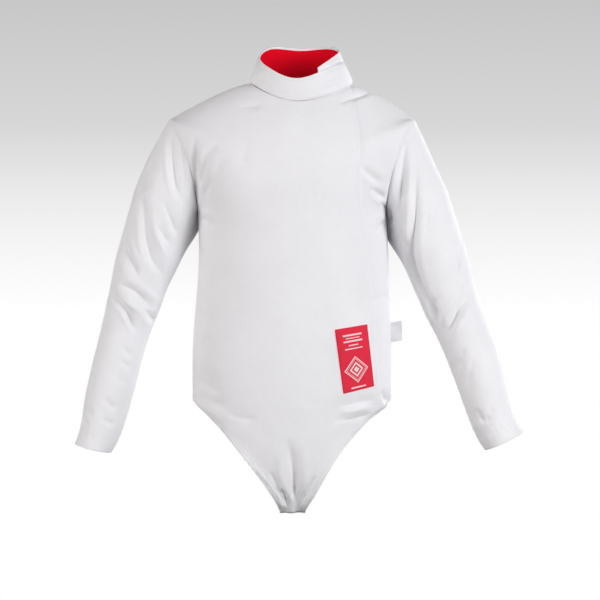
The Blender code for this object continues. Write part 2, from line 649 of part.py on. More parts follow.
def collar_grid():
    """The collar's outer surface as one spiral band, rim first, with its outward directions."""
    turn = np.linspace(COLLAR_START, COLLAR_END, COLLAR_COLUMNS + 1)
    lap = smooth((turn - COLLAR_LAP[0]) / (COLLAR_LAP[1] - COLLAR_LAP[0]))
    base = neckline(turn)
    base[:, 2] += SEAM + COLLAR_RAISE * lap
    angle = np.radians(turn)
    widest = np.stack([
        RIM_CENTRE[0] + RIM_HALF[0] * np.sin(angle),
        RIM_CENTRE[1] - RIM_HALF[1] * np.cos(angle),
        spline(SLOPE["turn"], SLOPE["z"], turn % 360.0)], axis=-1)
    start = neckline(turn)
    reach = (spline(RIM["turn"], RIM["z"], turn) - start[:, 2]) / (widest[:, 2] - start[:, 2])
    rim = start + (widest - start) * reach[:, None]
    up = np.linspace(1, 0, COLLAR_ROWS + 1)[:, None, None]
    points = base * (1 - up) + rim * up
    normals = grid_normals(points)
    level = unit(normals * [1, 1, 0])
    points = points + (COLLAR_OFFSET * lap)[None, :, None] * level
    return points, level


def make_collar():
    """The collar and its red lining."""
    points, normals = collar_grid()
    wall("collar", points, points - WALL * normals, "white_cloth")
    lining = points - (WALL + SEAM) * normals
    wall("collar_lining", lining, lining - LINING_WALL * normals, "red_lining")


def strap_points(tail):
    """The strap's outer surface, from the tail's last row to inside the back's hem."""
    knots = np.concatenate([[0], np.cumsum(np.hypot(np.diff(STRAP["y"]), np.diff(STRAP["z"])))])
    place = np.linspace(0.0, knots[-1], STRAP_ROWS + 1)
    flat = np.zeros((len(place), len(tail), 3))
    flat[..., 0] = np.interp(tail[:, 0], (tail[0, 0], tail[-1, 0]), (-STRAP_HALF, STRAP_HALF))
    flat[..., 1] = spline(knots, STRAP["y"], place)[:, None]
    flat[..., 2] = spline(knots, STRAP["z"], place)[:, None]
    gather = 1 - smooth(place / STRAP_SETTLE)
    return flat + (tail - flat[0]) * gather[:, None, None]


def make_strap(grid):
    """The strap between the legs."""
    shift = seam_shift(grid["points"], grid["normals"], ["top"]) - grid["points"]
    wall("crotch_strap", grid["points"] + shift, inner_points(grid, WALL) + shift, "white_cloth")


def make_label(grid):
    """The woven patch, lying on the front's own surface."""
    rows, columns = LABEL_GRID
    v, u = np.meshgrid(np.linspace(0, 1, rows + 1), np.linspace(0, 1, columns + 1), indexing="ij")
    corner = {name: (LABEL["x"][i], LABEL["z"][i]) for i, name in enumerate(
        ("top_right", "top_left", "bottom_right", "bottom_left"))}
    target = np.stack([
        (corner["top_right"][k] * (1 - u) + corner["top_left"][k] * u) * (1 - v)
        + (corner["bottom_right"][k] * (1 - u) + corner["bottom_left"][k] * u) * v
        for k in range(2)], axis=-1)
    edge = sum(FRONT_COLUMNS[:2]) + 1
    surface = grid["points"][:, :edge] + LAP * grid["normals"][:, :edge]
    points = np.array([[on_grid(surface, *target[r, c]) for c in range(columns + 1)]
                       for r in range(rows + 1)])
    normals = grid_normals(points)
    outer = points + (LABEL_LIFT + LABEL_WALL) * normals
    wall("hip_label", outer, points + LABEL_LIFT * normals, "red_patch")


def on_grid(surface, x, z):
    """The point of a faceted surface that is seen at x and z from the front."""
    flat = surface[..., [0, 2]]
    for r in range(surface.shape[0] - 1):
        for c in range(surface.shape[1] - 1):
            a, b, d = flat[r, c], flat[r + 1, c], flat[r, c + 1]
            e = flat[r + 1, c + 1]
            for first, second, third, places in (
                    (a, b, e, ((r, c), (r + 1, c), (r + 1, c + 1))),
                    (a, e, d, ((r, c), (r + 1, c + 1), (r, c + 1)))):
                run = np.stack([second - first, third - first], axis=1)
                share = np.linalg.solve(run, np.array([x, z]) - first)
                if share.min() >= -1e-9 and share.sum() <= 1 + 1e-9:
                    p, q, s = (surface[place] for place in places)
                    return p + share[0] * (q - p) + share[1] * (s - p)
    raise ValueError("the patch reaches past the front")


def make_tape():
    """The folded tape that stands out of the left side seam."""
    leaf = TAPE_DEEP / 2
    turn = np.radians(np.linspace(0, 180, TAPE_FOLD_POINTS))
    out = TAPE_OUT - leaf
    across = np.concatenate([[0.0, out / 2], out + leaf * np.sin(turn), [out / 2, 0.0]])
    deep = np.concatenate([[-leaf, -leaf], -leaf * np.cos(turn), [leaf, leaf]])
    inside = np.concatenate([[0.0, out / 2], out + (leaf - TAPE_WALL) * np.sin(turn), [out / 2, 0.0]])
    inside_deep = deep * (leaf - TAPE_WALL) / leaf
    heights = np.linspace(TAPE_TOP, TAPE_BOTTOM, TAPE_ROWS)
    seam = spline(SIDE["left_z"][::-1], SIDE["left_x"][::-1], heights) + 2 * SEAM
    outer, inner = [], []
    for x, z in zip(seam, heights):
        for made, run, side in ((outer, across, deep), (inner, inside, inside_deep)):
            made.append(np.stack([x + run, TAPE_Y + side, z + TAPE_TILT * run / TAPE_OUT], axis=-1))
    wall("side_label", np.array(outer), np.array(inner), "white_tape")


def make_jacket():
    """Every piece, in the order that it is sewn on."""
    for thing in list(bpy.data.objects):
        bpy.data.objects.remove(thing)
    grids = body_grids()
    make_front(grids["front"])
    make_back(grids["back"])
    make_sleeve(RIGHT, grids["right_sleeve"])
    make_sleeve(LEFT, grids["left_sleeve"])
    make_collar()
    make_strap(grids["strap"])
    make_label(grids["front"])
    make_tape()


make_jacket()
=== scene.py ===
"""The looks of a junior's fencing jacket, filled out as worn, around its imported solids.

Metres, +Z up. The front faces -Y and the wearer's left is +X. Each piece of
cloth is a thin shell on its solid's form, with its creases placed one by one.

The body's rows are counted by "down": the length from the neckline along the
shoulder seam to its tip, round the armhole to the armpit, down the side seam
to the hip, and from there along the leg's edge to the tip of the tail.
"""

import bpy
import numpy as np
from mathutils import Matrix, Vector, noise


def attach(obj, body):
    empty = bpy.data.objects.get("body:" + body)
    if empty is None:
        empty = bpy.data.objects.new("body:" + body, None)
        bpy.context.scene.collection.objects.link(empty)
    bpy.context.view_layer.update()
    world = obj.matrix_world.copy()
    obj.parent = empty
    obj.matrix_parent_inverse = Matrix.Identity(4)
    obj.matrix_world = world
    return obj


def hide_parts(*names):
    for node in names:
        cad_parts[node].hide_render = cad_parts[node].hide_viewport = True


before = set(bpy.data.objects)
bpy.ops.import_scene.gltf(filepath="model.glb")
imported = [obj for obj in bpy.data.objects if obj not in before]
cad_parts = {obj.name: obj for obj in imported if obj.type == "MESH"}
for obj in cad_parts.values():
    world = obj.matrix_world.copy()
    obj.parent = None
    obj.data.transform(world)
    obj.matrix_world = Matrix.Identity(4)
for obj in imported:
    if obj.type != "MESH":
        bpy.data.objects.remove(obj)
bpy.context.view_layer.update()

# The cloth
WALL = 0.0017          # two layers of jacket cloth
LINING_WALL = 0.0010
LAP = 0.0021           # how far the front stands off the under-front
FLAP_PRESS = 0.0070    # the flap's edge is pressed thin over this stretch
FLAP_THIN = 0.0011
FLAP_RUN_OUT = 0.022   # the last stretch, in which its edge swings out to the leg's edge
SEAM_BACK = 0.00025    # how far a sewn edge rounds back from its seam's line
BACK_FADE = 0.0040     # the stretch over which that runs out
FOLD_FADE = 0.35       # how far round to the side a crease reaches
SEAM_REACH = 0.018     # beside a seam both pieces crease as one
SEAM_Y, SEAM_TURN = 0.004, 0.020    # there, where the front's creases give way to the back's

# Soft unevenness: sizes of its broad and fine waves, the fine one's share, and
# how far from a seam it is fully there
BROAD_WAVE, FINE_WAVE, FINE_SHARE = 0.075, 0.028, 0.4
CALM_REACH = 0.030

# Where the body's rows change edge, as lengths down from the neckline
SHOULDER_TIP = 0.120
ARMPIT = 0.295
HIP = 0.577
UNDER_END = 0.600
TAIL_TIP = 0.833

# The closure at the wearer's left
UNDER_LAP = 0.045
UNDER_SHARE = 0.30
LAP_RISE, LAP_STEEP = 0.028, 1.15
LAP_SETTLE = (0.004, 0.05)    # below the under-front's end, where from and over what length
FLAP_CALM = 0.02              # the flap's edge is as even as cloth this far from a seam

# The tail: how far below the hip its edge is all hem, and the gathers at its tip
TAIL_BLEND = 0.03
GATHER_DEEP, GATHER_STEP = 0.0011, 0.0030
GATHER_FROM, GATHER_GROW = 0.765, 0.06

# A crease's profile, in its own widths: the sharp middle, and the lip's height,
# distance and width. Its ends run out over a share of its length
CREASE_CORE = 0.42
LIP_HIGH, LIP_AWAY, LIP_WIDE = 0.22, 1.9, 0.75
CREASE_ENDS = 0.34

# The slack cloth behind each armpit, which hangs towards the body
WEB_OUT = 0.016
WEB_TURN, WEB_WIDTH = 214.0, 30.0    # how far round the sleeve it is fullest, and its spread
WEB_GROW = 1.2                       # in rows of the sleeve's table: grown, gone and its fade
WEB_END, WEB_FADE = 4.2, 2.0

# How much the body's surface is rounded off, and how far in from its edges
EASE_TIMES = 60
EASE_REACH = 0.040

# Hems: their widths, and each fold's step and stitched groove. The step's edge
# and the groove are this wide on all of them
HEM_SOFT, GROOVE_WIDE = 0.0018, 0.0016
CUFF_HEM, CUFF_FOLD = 0.022, (0.0003, 0.0003)
LEG_HEM, LEG_FOLD = 0.0105, (0.0005, 0.0004)
BACK_HEM, BACK_FOLD = 0.014, (0.0007, 0.0008)
FLAP_HEM, FLAP_FOLD = 0.0090, (0.0001, 0.00018)

# Puckers of the sewn edges: depth, reach into the cloth, and pitch
SIDE_PUCKERS = (0.00035, 0.009, 0.011)
LEG_PUCKERS = (0.00030, 0.009, 0.011)
BACK_HEM_PUCKERS = (0.0005, 0.012, 0.0095)
SLEEVE_HEAD_PUCKERS = (0.0004, 0.010, 0.012)
UNDERARM_PUCKERS = (0.0003, 0.008, 0.012)
CUFF_PUCKERS = (0.0002, 0.009, 0.011)
COLLAR_PUCKERS = (0.0003, 0.007, 0.010)

# Depth and reach of the dip beside a sewn seam
SEAM_DIP = (0.0004, 0.0028)
NECK_DIP = (0.0010, 0.0030)
UNDERARM_DIP = (0.0006, 0.0028)
COLLAR_DIP = (0.0012, 0.0022)

# Where the rows of stitches run, as distances from an edge or a hem's fold
HEM_STITCH = 0.0022
SECOND_HEM_STITCH = 0.0072
SEAM_STITCH = 0.0032
SHOULDER_STITCH = 0.0030
FLAP_STITCH = 0.0062
UNDER_HEM_STITCH = 0.0055
COLLAR_STITCH = 0.0042
PATCH_STITCH = 0.0016
STITCH_PITCH = 0.0031
STITCH_SIZE = (0.00115, 0.00027, 0.00024)
STITCH_LIFT = 0.00008

# The part of an edge, from its top or first end, that a row of stitches follows
FLAP_SPAN, LEFT_LEG_SPAN = (0.0, 0.705), (0.72, 1.0)
RIGHT_LEG_SPAN, RIGHT_ARM_SPAN = (0.675, 1.0), (0.14, 0.345)
ARMHOLE_SPAN, SHOULDER_SPAN = (0.20, 0.48), (0.01, 0.19)
COLLAR_SPAN = (0.12, 1.0)

# Steps of the cloth grids: rows from edge to edge of the body, and columns. The
# last rows before a hem or the tail's tip lie closer
LAST_ROWS = 0.020
FRONT_ROWS, FRONT_COLUMNS = [42, 62, 98, 12, 140, 16], (76, 26, 20)
BACK_ROWS, BACK_COLUMNS = [42, 62, 92, 18], 132
SLEEVE_ROWS, SLEEVE_COLUMNS = [16, 184, 50, 6], 156
COLLAR_ROWS, COLLAR_COLUMNS = 36, 230
STRAP_ROWS = 130
LABEL_ROWS, LABEL_COLUMNS = 71, 37

RIGHT, LEFT = -1, 1    # the wearer's sides, as signs of X


def table(columns, *rows):
    """A short table as a dictionary of columns; each row starts with its name."""
    values = np.array([row[1:] for row in rows], float)
    return {name: values[:, place] for place, name in enumerate(columns)}


BODY_MEASURES = ("down", "mid_x", "mid_y", "mid_z", "sweep", "rise", "flat")
EDGE_MEASURES = ("down", "right_x", "left_x", "y", "right_z", "left_z")
SLEEVE_MEASURES = ("outer_x", "outer_z", "inner_x", "inner_z", "mid_y", "half_y", "bow")

FRONT = table(
    BODY_MEASURES,
    ("neckline", 0.000, 0.011, -0.062, -0.019, 90, 2.0, 1.00),
    ("upper_shoulder", 0.040, 0.008, -0.075, -0.038, 86, 2.4, 1.00),
    ("lower_shoulder", 0.080, 0.005, -0.085, -0.060, 76, 2.6, 1.00),
    ("shoulder_tip", 0.120, 0.003, -0.093, -0.084, 64, 2.6, 0.98),
    ("upper_armhole", 0.164, 0.001, -0.099, -0.112, 57, 2.4, 0.96),
    ("mid_armhole", 0.208, 0.000, -0.103, -0.140, 55, 2.2, 0.94),
    ("lower_armhole", 0.251, 0.000, -0.105, -0.169, 66, 2.0, 0.90),
    ("armpit", 0.295, 0.000, -0.106, -0.197, 90, 2.0, 0.88),
    ("chest", 0.360, 0.000, -0.106, -0.256, 90, 2.0, 0.86),
    ("waist", 0.430, 0.000, -0.105, -0.323, 90, 2.0, 0.85),
    ("belly", 0.500, 0.000, -0.104, -0.393, 90, 2.0, 0.85),
    ("hip", 0.577, 0.000, -0.099, -0.470, 90, 2.0, 0.88),
    ("upper_tail", 0.620, 0.000, -0.094, -0.503, 82, 2.0, 0.90),
    ("mid_tail", 0.670, 0.000, -0.089, -0.537, 72, 2.0, 0.95),
    ("lower_tail", 0.720, 0.000, -0.081, -0.570, 60, 2.0, 1.00),
    ("tail_end", 0.780, 0.000, -0.067, -0.603, 42, 2.0, 1.00),
    ("tail_tip", 0.833, 0.000, -0.048, -0.6250, 30, 2.0, 1.00),
)

BACK = table(
    BODY_MEASURES,
    ("neckline", 0.000, 0.010, 0.060, 0.012, 90, 2.0, 1.00),
    ("upper_shoulder", 0.040, 0.008, 0.073, -0.010, 86, 2.4, 1.00),
    ("lower_shoulder", 0.080, 0.005, 0.083, -0.036, 76, 2.6, 1.00),
    ("shoulder_tip", 0.120, 0.003, 0.091, -0.064, 64, 2.6, 0.98),
    ("upper_armhole", 0.164, 0.001, 0.097, -0.096, 57, 2.4, 0.96),
    ("mid_armhole", 0.208, 0.000, 0.100, -0.130, 55, 2.2, 0.94),
    ("lower_armhole", 0.251, 0.000, 0.101, -0.163, 66, 2.0, 0.90),
    ("armpit", 0.295, 0.000, 0.100, -0.196, 90, 2.0, 0.88),
    ("chest", 0.360, 0.000, 0.095, -0.256, 90, 2.0, 0.86),
    ("waist", 0.430, 0.000, 0.089, -0.325, 90, 2.0, 0.85),
    ("belly", 0.500, 0.000, 0.091, -0.400, 90, 2.0, 0.85),
    ("hip", 0.577, 0.000, 0.098, -0.490, 90, 2.0, 0.88),
)

# The right and left ends of a row, as distances out from the middle plane
SHOULDER = table(
    EDGE_MEASURES,
    ("neck_point", 0.000, 0.064, 0.088, 0.0000, 0.0135, 0.0095),
    ("inner_shoulder", 0.040, 0.101, 0.119, 0.0015, 0.0010, 0.0010),
    ("outer_shoulder", 0.080, 0.143, 0.152, 0.0030, -0.0185, -0.0180),
    ("shoulder_tip", 0.120, 0.184, 0.184, 0.0040, -0.0410, -0.0410),
)

SIDE = table(
    EDGE_MEASURES,
    ("armpit", 0.295, 0.1410, 0.1410, 0.004, -0.180, -0.180),
    ("chest", 0.360, 0.1395, 0.1445, 0.003, -0.244, -0.244),
    ("waist", 0.430, 0.1435, 0.1475, 0.002, -0.314, -0.314),
    ("belly", 0.500, 0.1485, 0.1490, 0.001, -0.384, -0.384),
    ("hip", 0.577, 0.1485, 0.1480, 0.000, -0.461, -0.461),
)

LEG = table(
    EDGE_MEASURES,
    ("hip", 0.577, 0.1485, 0.1480, 0.000, -0.461, -0.461),
    ("thigh_top", 0.600, 0.1420, 0.1390, -0.024, -0.467, -0.468),
    ("thigh", 0.640, 0.1175, 0.1140, -0.056, -0.488, -0.488),
    ("groin_top", 0.700, 0.0765, 0.0695, -0.079, -0.535, -0.537),
    ("groin", 0.760, 0.0425, 0.0440, -0.077, -0.579, -0.579),
    ("tail_end", 0.805, 0.0235, 0.0265, -0.060, -0.610, -0.611),
    ("tail_tip", 0.833, 0.0165, 0.0190, -0.045, -0.6245, -0.6230),
)

FLAP = table(
    ("down", "x"),
    ("collar_corner", 0.000, 0.0865),
    ("below_collar", 0.040, 0.0870),
    ("shoulder", 0.120, 0.0887),
    ("armpit", 0.295, 0.1007),
    ("waist", 0.430, 0.1141),
    ("hip", 0.577, 0.1295),
    ("under_end", 0.600, 0.1325),
)

RIGHT_SLEEVE = table(
    SLEEVE_MEASURES,
    ("armhole", 0.1840, -0.041, 0.1410, -0.1800, 0.004, 0.0525, 0.010),
    ("cap", 0.2000, -0.070, 0.1470, -0.1920, 0.004, 0.0540, 0.008),
    ("upper", 0.2190, -0.106, 0.1535, -0.2090, 0.003, 0.0540, 0.005),
    ("bicep", 0.2365, -0.150, 0.1620, -0.2335, 0.001, 0.0520, 0.002),
    ("mid_upper", 0.2500, -0.200, 0.1715, -0.2620, 0.000, 0.0490, 0.000),
    ("above_elbow", 0.2635, -0.247, 0.1855, -0.2910, 0.000, 0.0450, 0.000),
    ("elbow", 0.2720, -0.292, 0.1990, -0.3280, -0.002, 0.0420, 0.000),
    ("below_elbow", 0.2820, -0.340, 0.2135, -0.3650, -0.007, 0.0400, 0.000),
    ("forearm", 0.2955, -0.3975, 0.2270, -0.4135, -0.016, 0.0370, 0.000),
    ("lower", 0.3075, -0.4585, 0.2420, -0.4725, -0.027, 0.0345, 0.000),
    ("wrist", 0.3135, -0.5010, 0.2540, -0.5115, -0.035, 0.0310, 0.000),
    ("cuff", 0.3205, -0.5240, 0.2675, -0.5370, -0.040, 0.0300, 0.000),
)

LEFT_SLEEVE = table(
    SLEEVE_MEASURES,
    ("armhole", 0.1840, -0.041, 0.1410, -0.1800, 0.004, 0.0525, 0.010),
    ("cap", 0.1985, -0.072, 0.1460, -0.1930, 0.004, 0.0540, 0.008),
    ("upper", 0.2140, -0.108, 0.1525, -0.2140, 0.003, 0.0540, 0.005),
    ("bicep", 0.2320, -0.148, 0.1600, -0.2400, 0.001, 0.0520, 0.002),
    ("mid_upper", 0.2480, -0.196, 0.1715, -0.2700, 0.000, 0.0490, 0.000),
    ("above_elbow", 0.2620, -0.242, 0.1865, -0.3030, 0.000, 0.0450, 0.000),
    ("elbow", 0.2735, -0.291, 0.2040, -0.3410, -0.002, 0.0420, 0.000),
    ("below_elbow", 0.2895, -0.338, 0.2225, -0.3790, -0.007, 0.0400, 0.000),
    ("forearm", 0.3045, -0.3855, 0.2415, -0.4265, -0.016, 0.0370, 0.000),
    ("lower", 0.3180, -0.4390, 0.2570, -0.4735, -0.027, 0.0345, 0.000),
    ("wrist", 0.3295, -0.4850, 0.2720, -0.5110, -0.035, 0.0310, 0.000),
    ("cuff", 0.3425, -0.5055, 0.2850, -0.5335, -0.040, 0.0300, 0.000),
)

# The collar runs as one spiral: degrees from the front's middle towards the
# wearer's left, starting under the lap and ending on top of it one turn later
COLLAR_START, COLLAR_END = 27.0, 440.0
COLLAR_LAP = (350.0, 385.0)
COLLAR_OFFSET = 0.0036
COLLAR_RAISE = 0.0010
COLLAR_PUFF = 0.0024             # how far the padded band swells between its seams
LINING_DROP = 0.0013             # the white edge that turns in above the lining
LINING_SINK = (0.0006, 0.004)    # how deep the lining dips below it, and how far down
LINING_GAP = 0.0001
COLLAR_EASE = 0.0012
RIM_CENTRE = (0.0110, -0.008)
RIM_HALF = (0.0602, 0.056)
RIM = table(
    ("turn", "z"),
    ("under_end", 27, 0.0295),
    ("under_left", 60, 0.0480),
    ("left", 90, 0.0592),
    ("back_left", 135, 0.0709),
    ("back", 180, 0.0702),
    ("back_right", 225, 0.0706),
    ("right", 270, 0.0504),
    ("front_right", 315, 0.0290),
    ("front", 360, 0.0129),
    ("lap", 387, 0.0225),
    ("lap_left", 415, 0.0350),
    ("lap_end", 440, 0.0435),
)
SLOPE = table(
    ("turn", "z"),
    ("front", 0, 0.0220),
    ("front_left", 45, 0.0400),
    ("left", 90, 0.0592),
    ("back_left", 135, 0.0709),
    ("back", 180, 0.0702),
    ("back_right", 225, 0.0706),
    ("right", 270, 0.0504),
    ("front_right", 315, 0.0320),
    ("front_again", 360, 0.0220),
)

# The strap's path in the middle plane, from the tail's tip to the back hem
STRAP_HALF = 0.0180
STRAP_SETTLE = 0.045             # the stretch over which it comes out of its gathers
STRAP_CALM = 0.02
STRAP = table(
    ("y", "z"),
    ("tail_tip", -0.0460, -0.6240),
    ("under_front", -0.0150, -0.6290),
    ("under_back", 0.0280, -0.6195),
    ("rise", 0.0640, -0.5920),
    ("seat", 0.0850, -0.5480),
    ("below_hem", 0.0925, -0.5080),
    ("inside_hem", 0.0932, -0.4720),
)

# The woven patch, by its corners at the wearer's right and left
LABEL_LIFT, LABEL_SINK = 0.0003, 0.0001
LABEL_WALL, LABEL_EDGE = 0.0012, 0.62    # and the share of it that is left at the edge
LABEL_TURN = 0.0035
LABEL = table(
    ("x", "z"),
    ("top_right", 0.0630, -0.3555),
    ("top_left", 0.1095, -0.3480),
    ("bottom_right", 0.0755, -0.4480),
    ("bottom_left", 0.1200, -0.4380),
)

# Its woven marks: lozenges by size and half width of line, round one middle,
# and bars by their place down the patch, half length and half width
PATCH_MIDDLE = 0.0620
PATCH_THREAD = (0.86, 0.70, 0.72, 1.0)
PATCH_LOZENGES = [(0.0185, 0.0010), (0.0155, 0.0004), (0.0095, 0.0016), (0.0, 0.0045)]
PATCH_BARS = [
    (0.0110, 0.0150, 0.0012), (0.0155, 0.0110, 0.0006), (0.0200, 0.0150, 0.0012),
    (0.0260, 0.0075, 0.0008), (0.0310, 0.0140, 0.0008), (0.0880, 0.0120, 0.0010),
]

# The folded tape in the side seam
TAPE_TOP, TAPE_BOTTOM = -0.3465, -0.3750
TAPE_Y = 0.002
TAPE_OUT = 0.0165
TAPE_DEEP = 0.0026
TAPE_WALL = 0.0008
TAPE_TILT = 0.0030

# Creases, as seen from the front: the points each one follows, its width and
# depth, and how much steeper its second side is. A negative depth stands out
FRONT_CREASES = [
    ("right_armpit", [(-.1430, -.068), (-.1425, -.105), (-.1428, -.150), (-.1405, -.178)], .0054, .0104, 0.0),
    ("right_chest", [(-.102, -.079), (-.1255, -.101), (-.1335, -.127), (-.1390, -.155)], .0060, .0064, 0.3),
    ("right_chest_soft", [(-.092, -.103), (-.110, -.124), (-.126, -.149), (-.139, -.172)], .0109, .0031, 0.0),
    ("right_neck", [(-.082, -.029), (-.060, -.0265), (-.042, -.028)], .0060, .0024, 0.0),
    ("left_neck", [(.066, -.026), (.084, -.017), (.104, -.007), (.122, -.002)], .0056, .0044, 0.2),
    ("right_breast", [(-.062, -.084), (-.070, -.104), (-.073, -.121)], .0080, .0016, 0.0),
    ("right_side_pull", [(-.112, -.205), (-.126, -.197), (-.139, -.186)], .0084, .0034, 0.2),
    ("left_chest", [(.099, -.116), (.117, -.131), (.1345, -.144)], .0059, .0050, 0.2),
    ("left_chest_low", [(.115, -.147), (.128, -.156), (.141, -.165)], .0052, .0050, 0.0),
    ("left_armpit", [(.129, -.168), (.139, -.173), (.1440, -.181), (.1430, -.202)], .0049, .0062, 0.0),
    ("left_side_pull", [(.118, -.214), (.132, -.203), (.143, -.190)], .0080, .0031, -0.2),
    ("hip_crease", [(.062, -.468), (.084, -.465), (.108, -.461), (.130, -.454)], .0080, .0028, 0.2),
    ("hip_roll", [(.070, -.477), (.096, -.472), (.120, -.466)], .0067, -.0022, 0.0),
    ("hip_under", [(.058, -.489), (.084, -.486), (.104, -.481), (.120, -.475)], .0075, .0022, -0.2),
    ("hip_corner", [(.130, -.444), (.138, -.455), (.145, -.468)], .0066, .0052, 0.0),
    ("label_left", [(.018, -.440), (.022, -.456), (.024, -.472)], .0120, .0012, 0.0),
    ("right_hip", [(-.146, -.428), (-.126, -.438), (-.100, -.449)], .0125, .0030, 0.2),
    ("right_hip_low", [(-.141, -.452), (-.120, -.461), (-.092, -.468)], .0110, .0022, 0.0),
    ("low_right", [(-.100, -.476), (-.074, -.484), (-.046, -.486)], .0110, .0020, 0.0),
    ("right_waist", [(-.146, -.330), (-.128, -.338), (-.104, -.340)], .0101, .0025, 0.0),
    ("left_waist", [(.148, -.300), (.130, -.310), (.108, -.313)], .0101, .0022, 0.0),
    ("tail_groove", [(-.0055, -.508), (-.001, -.535), (.0030, -.567), (.0036, -.600), (.0030, -.632)],
     .0092, .0086, 0.0),
    ("tail_tip_right", [(-.0160, -.587), (-.0108, -.602), (-.0062, -.620)], .0044, .0052, 0.2),
    ("tail_right", [(-.034, -.560), (-.022, -.585), (-.012, -.618)], .0055, .0037, 0.2),
    ("tail_left", [(.036, -.566), (.024, -.590), (.012, -.618)], .0055, .0034, -0.2),
    ("sleeve_head_right", [(-.1785, -.055), (-.1782, -.085), (-.1745, -.124), (-.1690, -.150),
                           (-.1575, -.174)], .0067, .0078, 0.2),
    ("sleeve_head_right_in", [(-.163, -.062), (-.162, -.100), (-.156, -.140), (-.149, -.170)],
     .0067, .0034, 0.0),
    ("right_sleeve_arc", [(-.2226, -.149), (-.2169, -.206), (-.2055, -.2555), (-.1845, -.282)],
     .0071, .0065, 0.2),
    ("right_sleeve_shade", [(-.2080, -.102), (-.2180, -.128), (-.2230, -.160)], .0092, .0040, 0.0),
    ("right_bicep_a", [(-.1910, -.162), (-.1800, -.190), (-.1660, -.223)], .0063, .0046, 0.3),
    ("right_bicep_b", [(-.1985, -.198), (-.1900, -.216), (-.1790, -.232)], .0050, .0034, 0.0),
    ("right_bicep_ridge", [(-.2040, -.190), (-.1970, -.224), (-.1830, -.252)], .0067, -.0028, 0.0),
    ("right_upper_arm", [(-.2500, -.212), (-.2430, -.243), (-.2335, -.262), (-.2245, -.282)],
     .0067, .0058, -0.2),
    ("right_elbow", [(-.2730, -.297), (-.2490, -.323), (-.2345, -.349), (-.2285, -.366)], .0060, .0092, 0.3),
    ("right_elbow_top", [(-.2600, -.288), (-.2320, -.300), (-.2150, -.316), (-.2040, -.328)],
     .0080, .0070, -0.2),
    ("right_elbow_roll", [(-.2640, -.302), (-.2440, -.317), (-.2260, -.332)], .0063, -.0034, 0.0),
    ("right_forearm_a", [(-.2470, -.378), (-.2420, -.390), (-.2330, -.396)], .0050, .0028, 0.0),
    ("right_forearm_b", [(-.2520, -.400), (-.2450, -.408), (-.2350, -.412)], .0050, .0028, 0.2),
    ("right_forearm_c", [(-.2560, -.424), (-.2490, -.432), (-.2400, -.434)], .0046, .0023, 0.0),
    ("right_wrist_a", [(-.2790, -.456), (-.2680, -.466), (-.2570, -.476)], .0055, .0047, 0.2),
    ("right_wrist_b", [(-.2780, -.485), (-.2700, -.491), (-.2600, -.496)], .0046, .0037, 0.0),
    ("right_wrist_c", [(-.3080, -.470), (-.2980, -.478), (-.2890, -.481)], .0050, .0022, 0.0),
    ("left_sleeve_head", [(.1700, -.070), (.1649, -.115), (.1600, -.157), (.1580, -.190)],
     .0062, .0078, -0.2),
    ("left_sleeve_long", [(.1850, -.096), (.1840, -.150), (.1810, -.197), (.1757, -.238), (.1846, -.279),
                          (.2080, -.322)], .0064, .0090, 0.2),
    ("left_sleeve_inner", [(.1590, -.228), (.1790, -.268), (.1990, -.303), (.2150, -.336), (.2290, -.372)],
     .0058, .0060, -0.2),
    ("left_sleeve_inner_roll", [(.1850, -.292), (.2010, -.322), (.2180, -.358)], .0060, -.0040, 0.0),
    ("left_sleeve_faint", [(.2000, -.120), (.2000, -.180), (.1960, -.230)], .0071, .0028, 0.0),
    ("left_sleeve_ridge", [(.1755, -.110), (.1720, -.170), (.1680, -.230)], .0063, -.0028, 0.0),
    ("left_upper_arm", [(.2570, -.222), (.2515, -.241), (.2440, -.278)], .0063, .0056, 0.2),
    ("left_elbow", [(.2730, -.296), (.2540, -.319), (.2390, -.343), (.2250, -.373)], .0063, .0086, -0.2),
    ("left_elbow_low", [(.2650, -.310), (.2550, -.326), (.2440, -.348)], .0055, .0040, 0.0),
    ("left_elbow_in", [(.2180, -.300), (.2130, -.322), (.2170, -.344)], .0067, .0038, 0.0),
    ("left_elbow_upper", [(.2570, -.283), (.2465, -.319), (.2340, -.352)], .0057, .0050, 0.0),
    ("left_sleeve_web", [(.1600, -.204), (.1655, -.224), (.1725, -.244)], .0056, .0030, 0.0),
    ("right_elbow_in", [(-.2165, -.325), (-.2035, -.348)], .0050, .0040, 0.0),
    ("left_forearm_a", [(.2560, -.380), (.2500, -.398), (.2440, -.418)], .0059, .0034, 0.0),
    ("left_forearm_b", [(.2700, -.398), (.2620, -.420), (.2560, -.444)], .0067, .0025, 0.2),
    ("left_wrist_a", [(.2720, -.470), (.2790, -.488), (.2860, -.496)], .0067, .0030, 0.0),
    ("left_wrist_b", [(.2980, -.470), (.2900, -.482), (.2840, -.494)], .0055, .0028, 0.0),
]

# Creases on the collar, as seen from the front
COLLAR_CREASES = [
    ("roll", [(-.040, .006), (-.018, -.010), (.016, -.014), (.044, -.006)], .0060, .0011, 0.0),
    ("lap_low", [(.040, -.008), (.056, .000), (.076, .007)], .0040, .0026, 0.2),
    ("lap_middle", [(.048, .008), (.060, .016), (.076, .024)], .0044, .0016, 0.0),
    ("lap_top", [(.046, .020), (.058, .028), (.072, .036)], .0034, .0014, 0.0),
    ("lap_slit", [(.0405, .0252), (.054, .0318), (.065, .0362), (.078, .0430)], .0021, .0050, 0.3),
    ("right_pull", [(-.050, .020), (-.038, .004), (-.028, -.004)], .0050, .0010, 0.0),
]

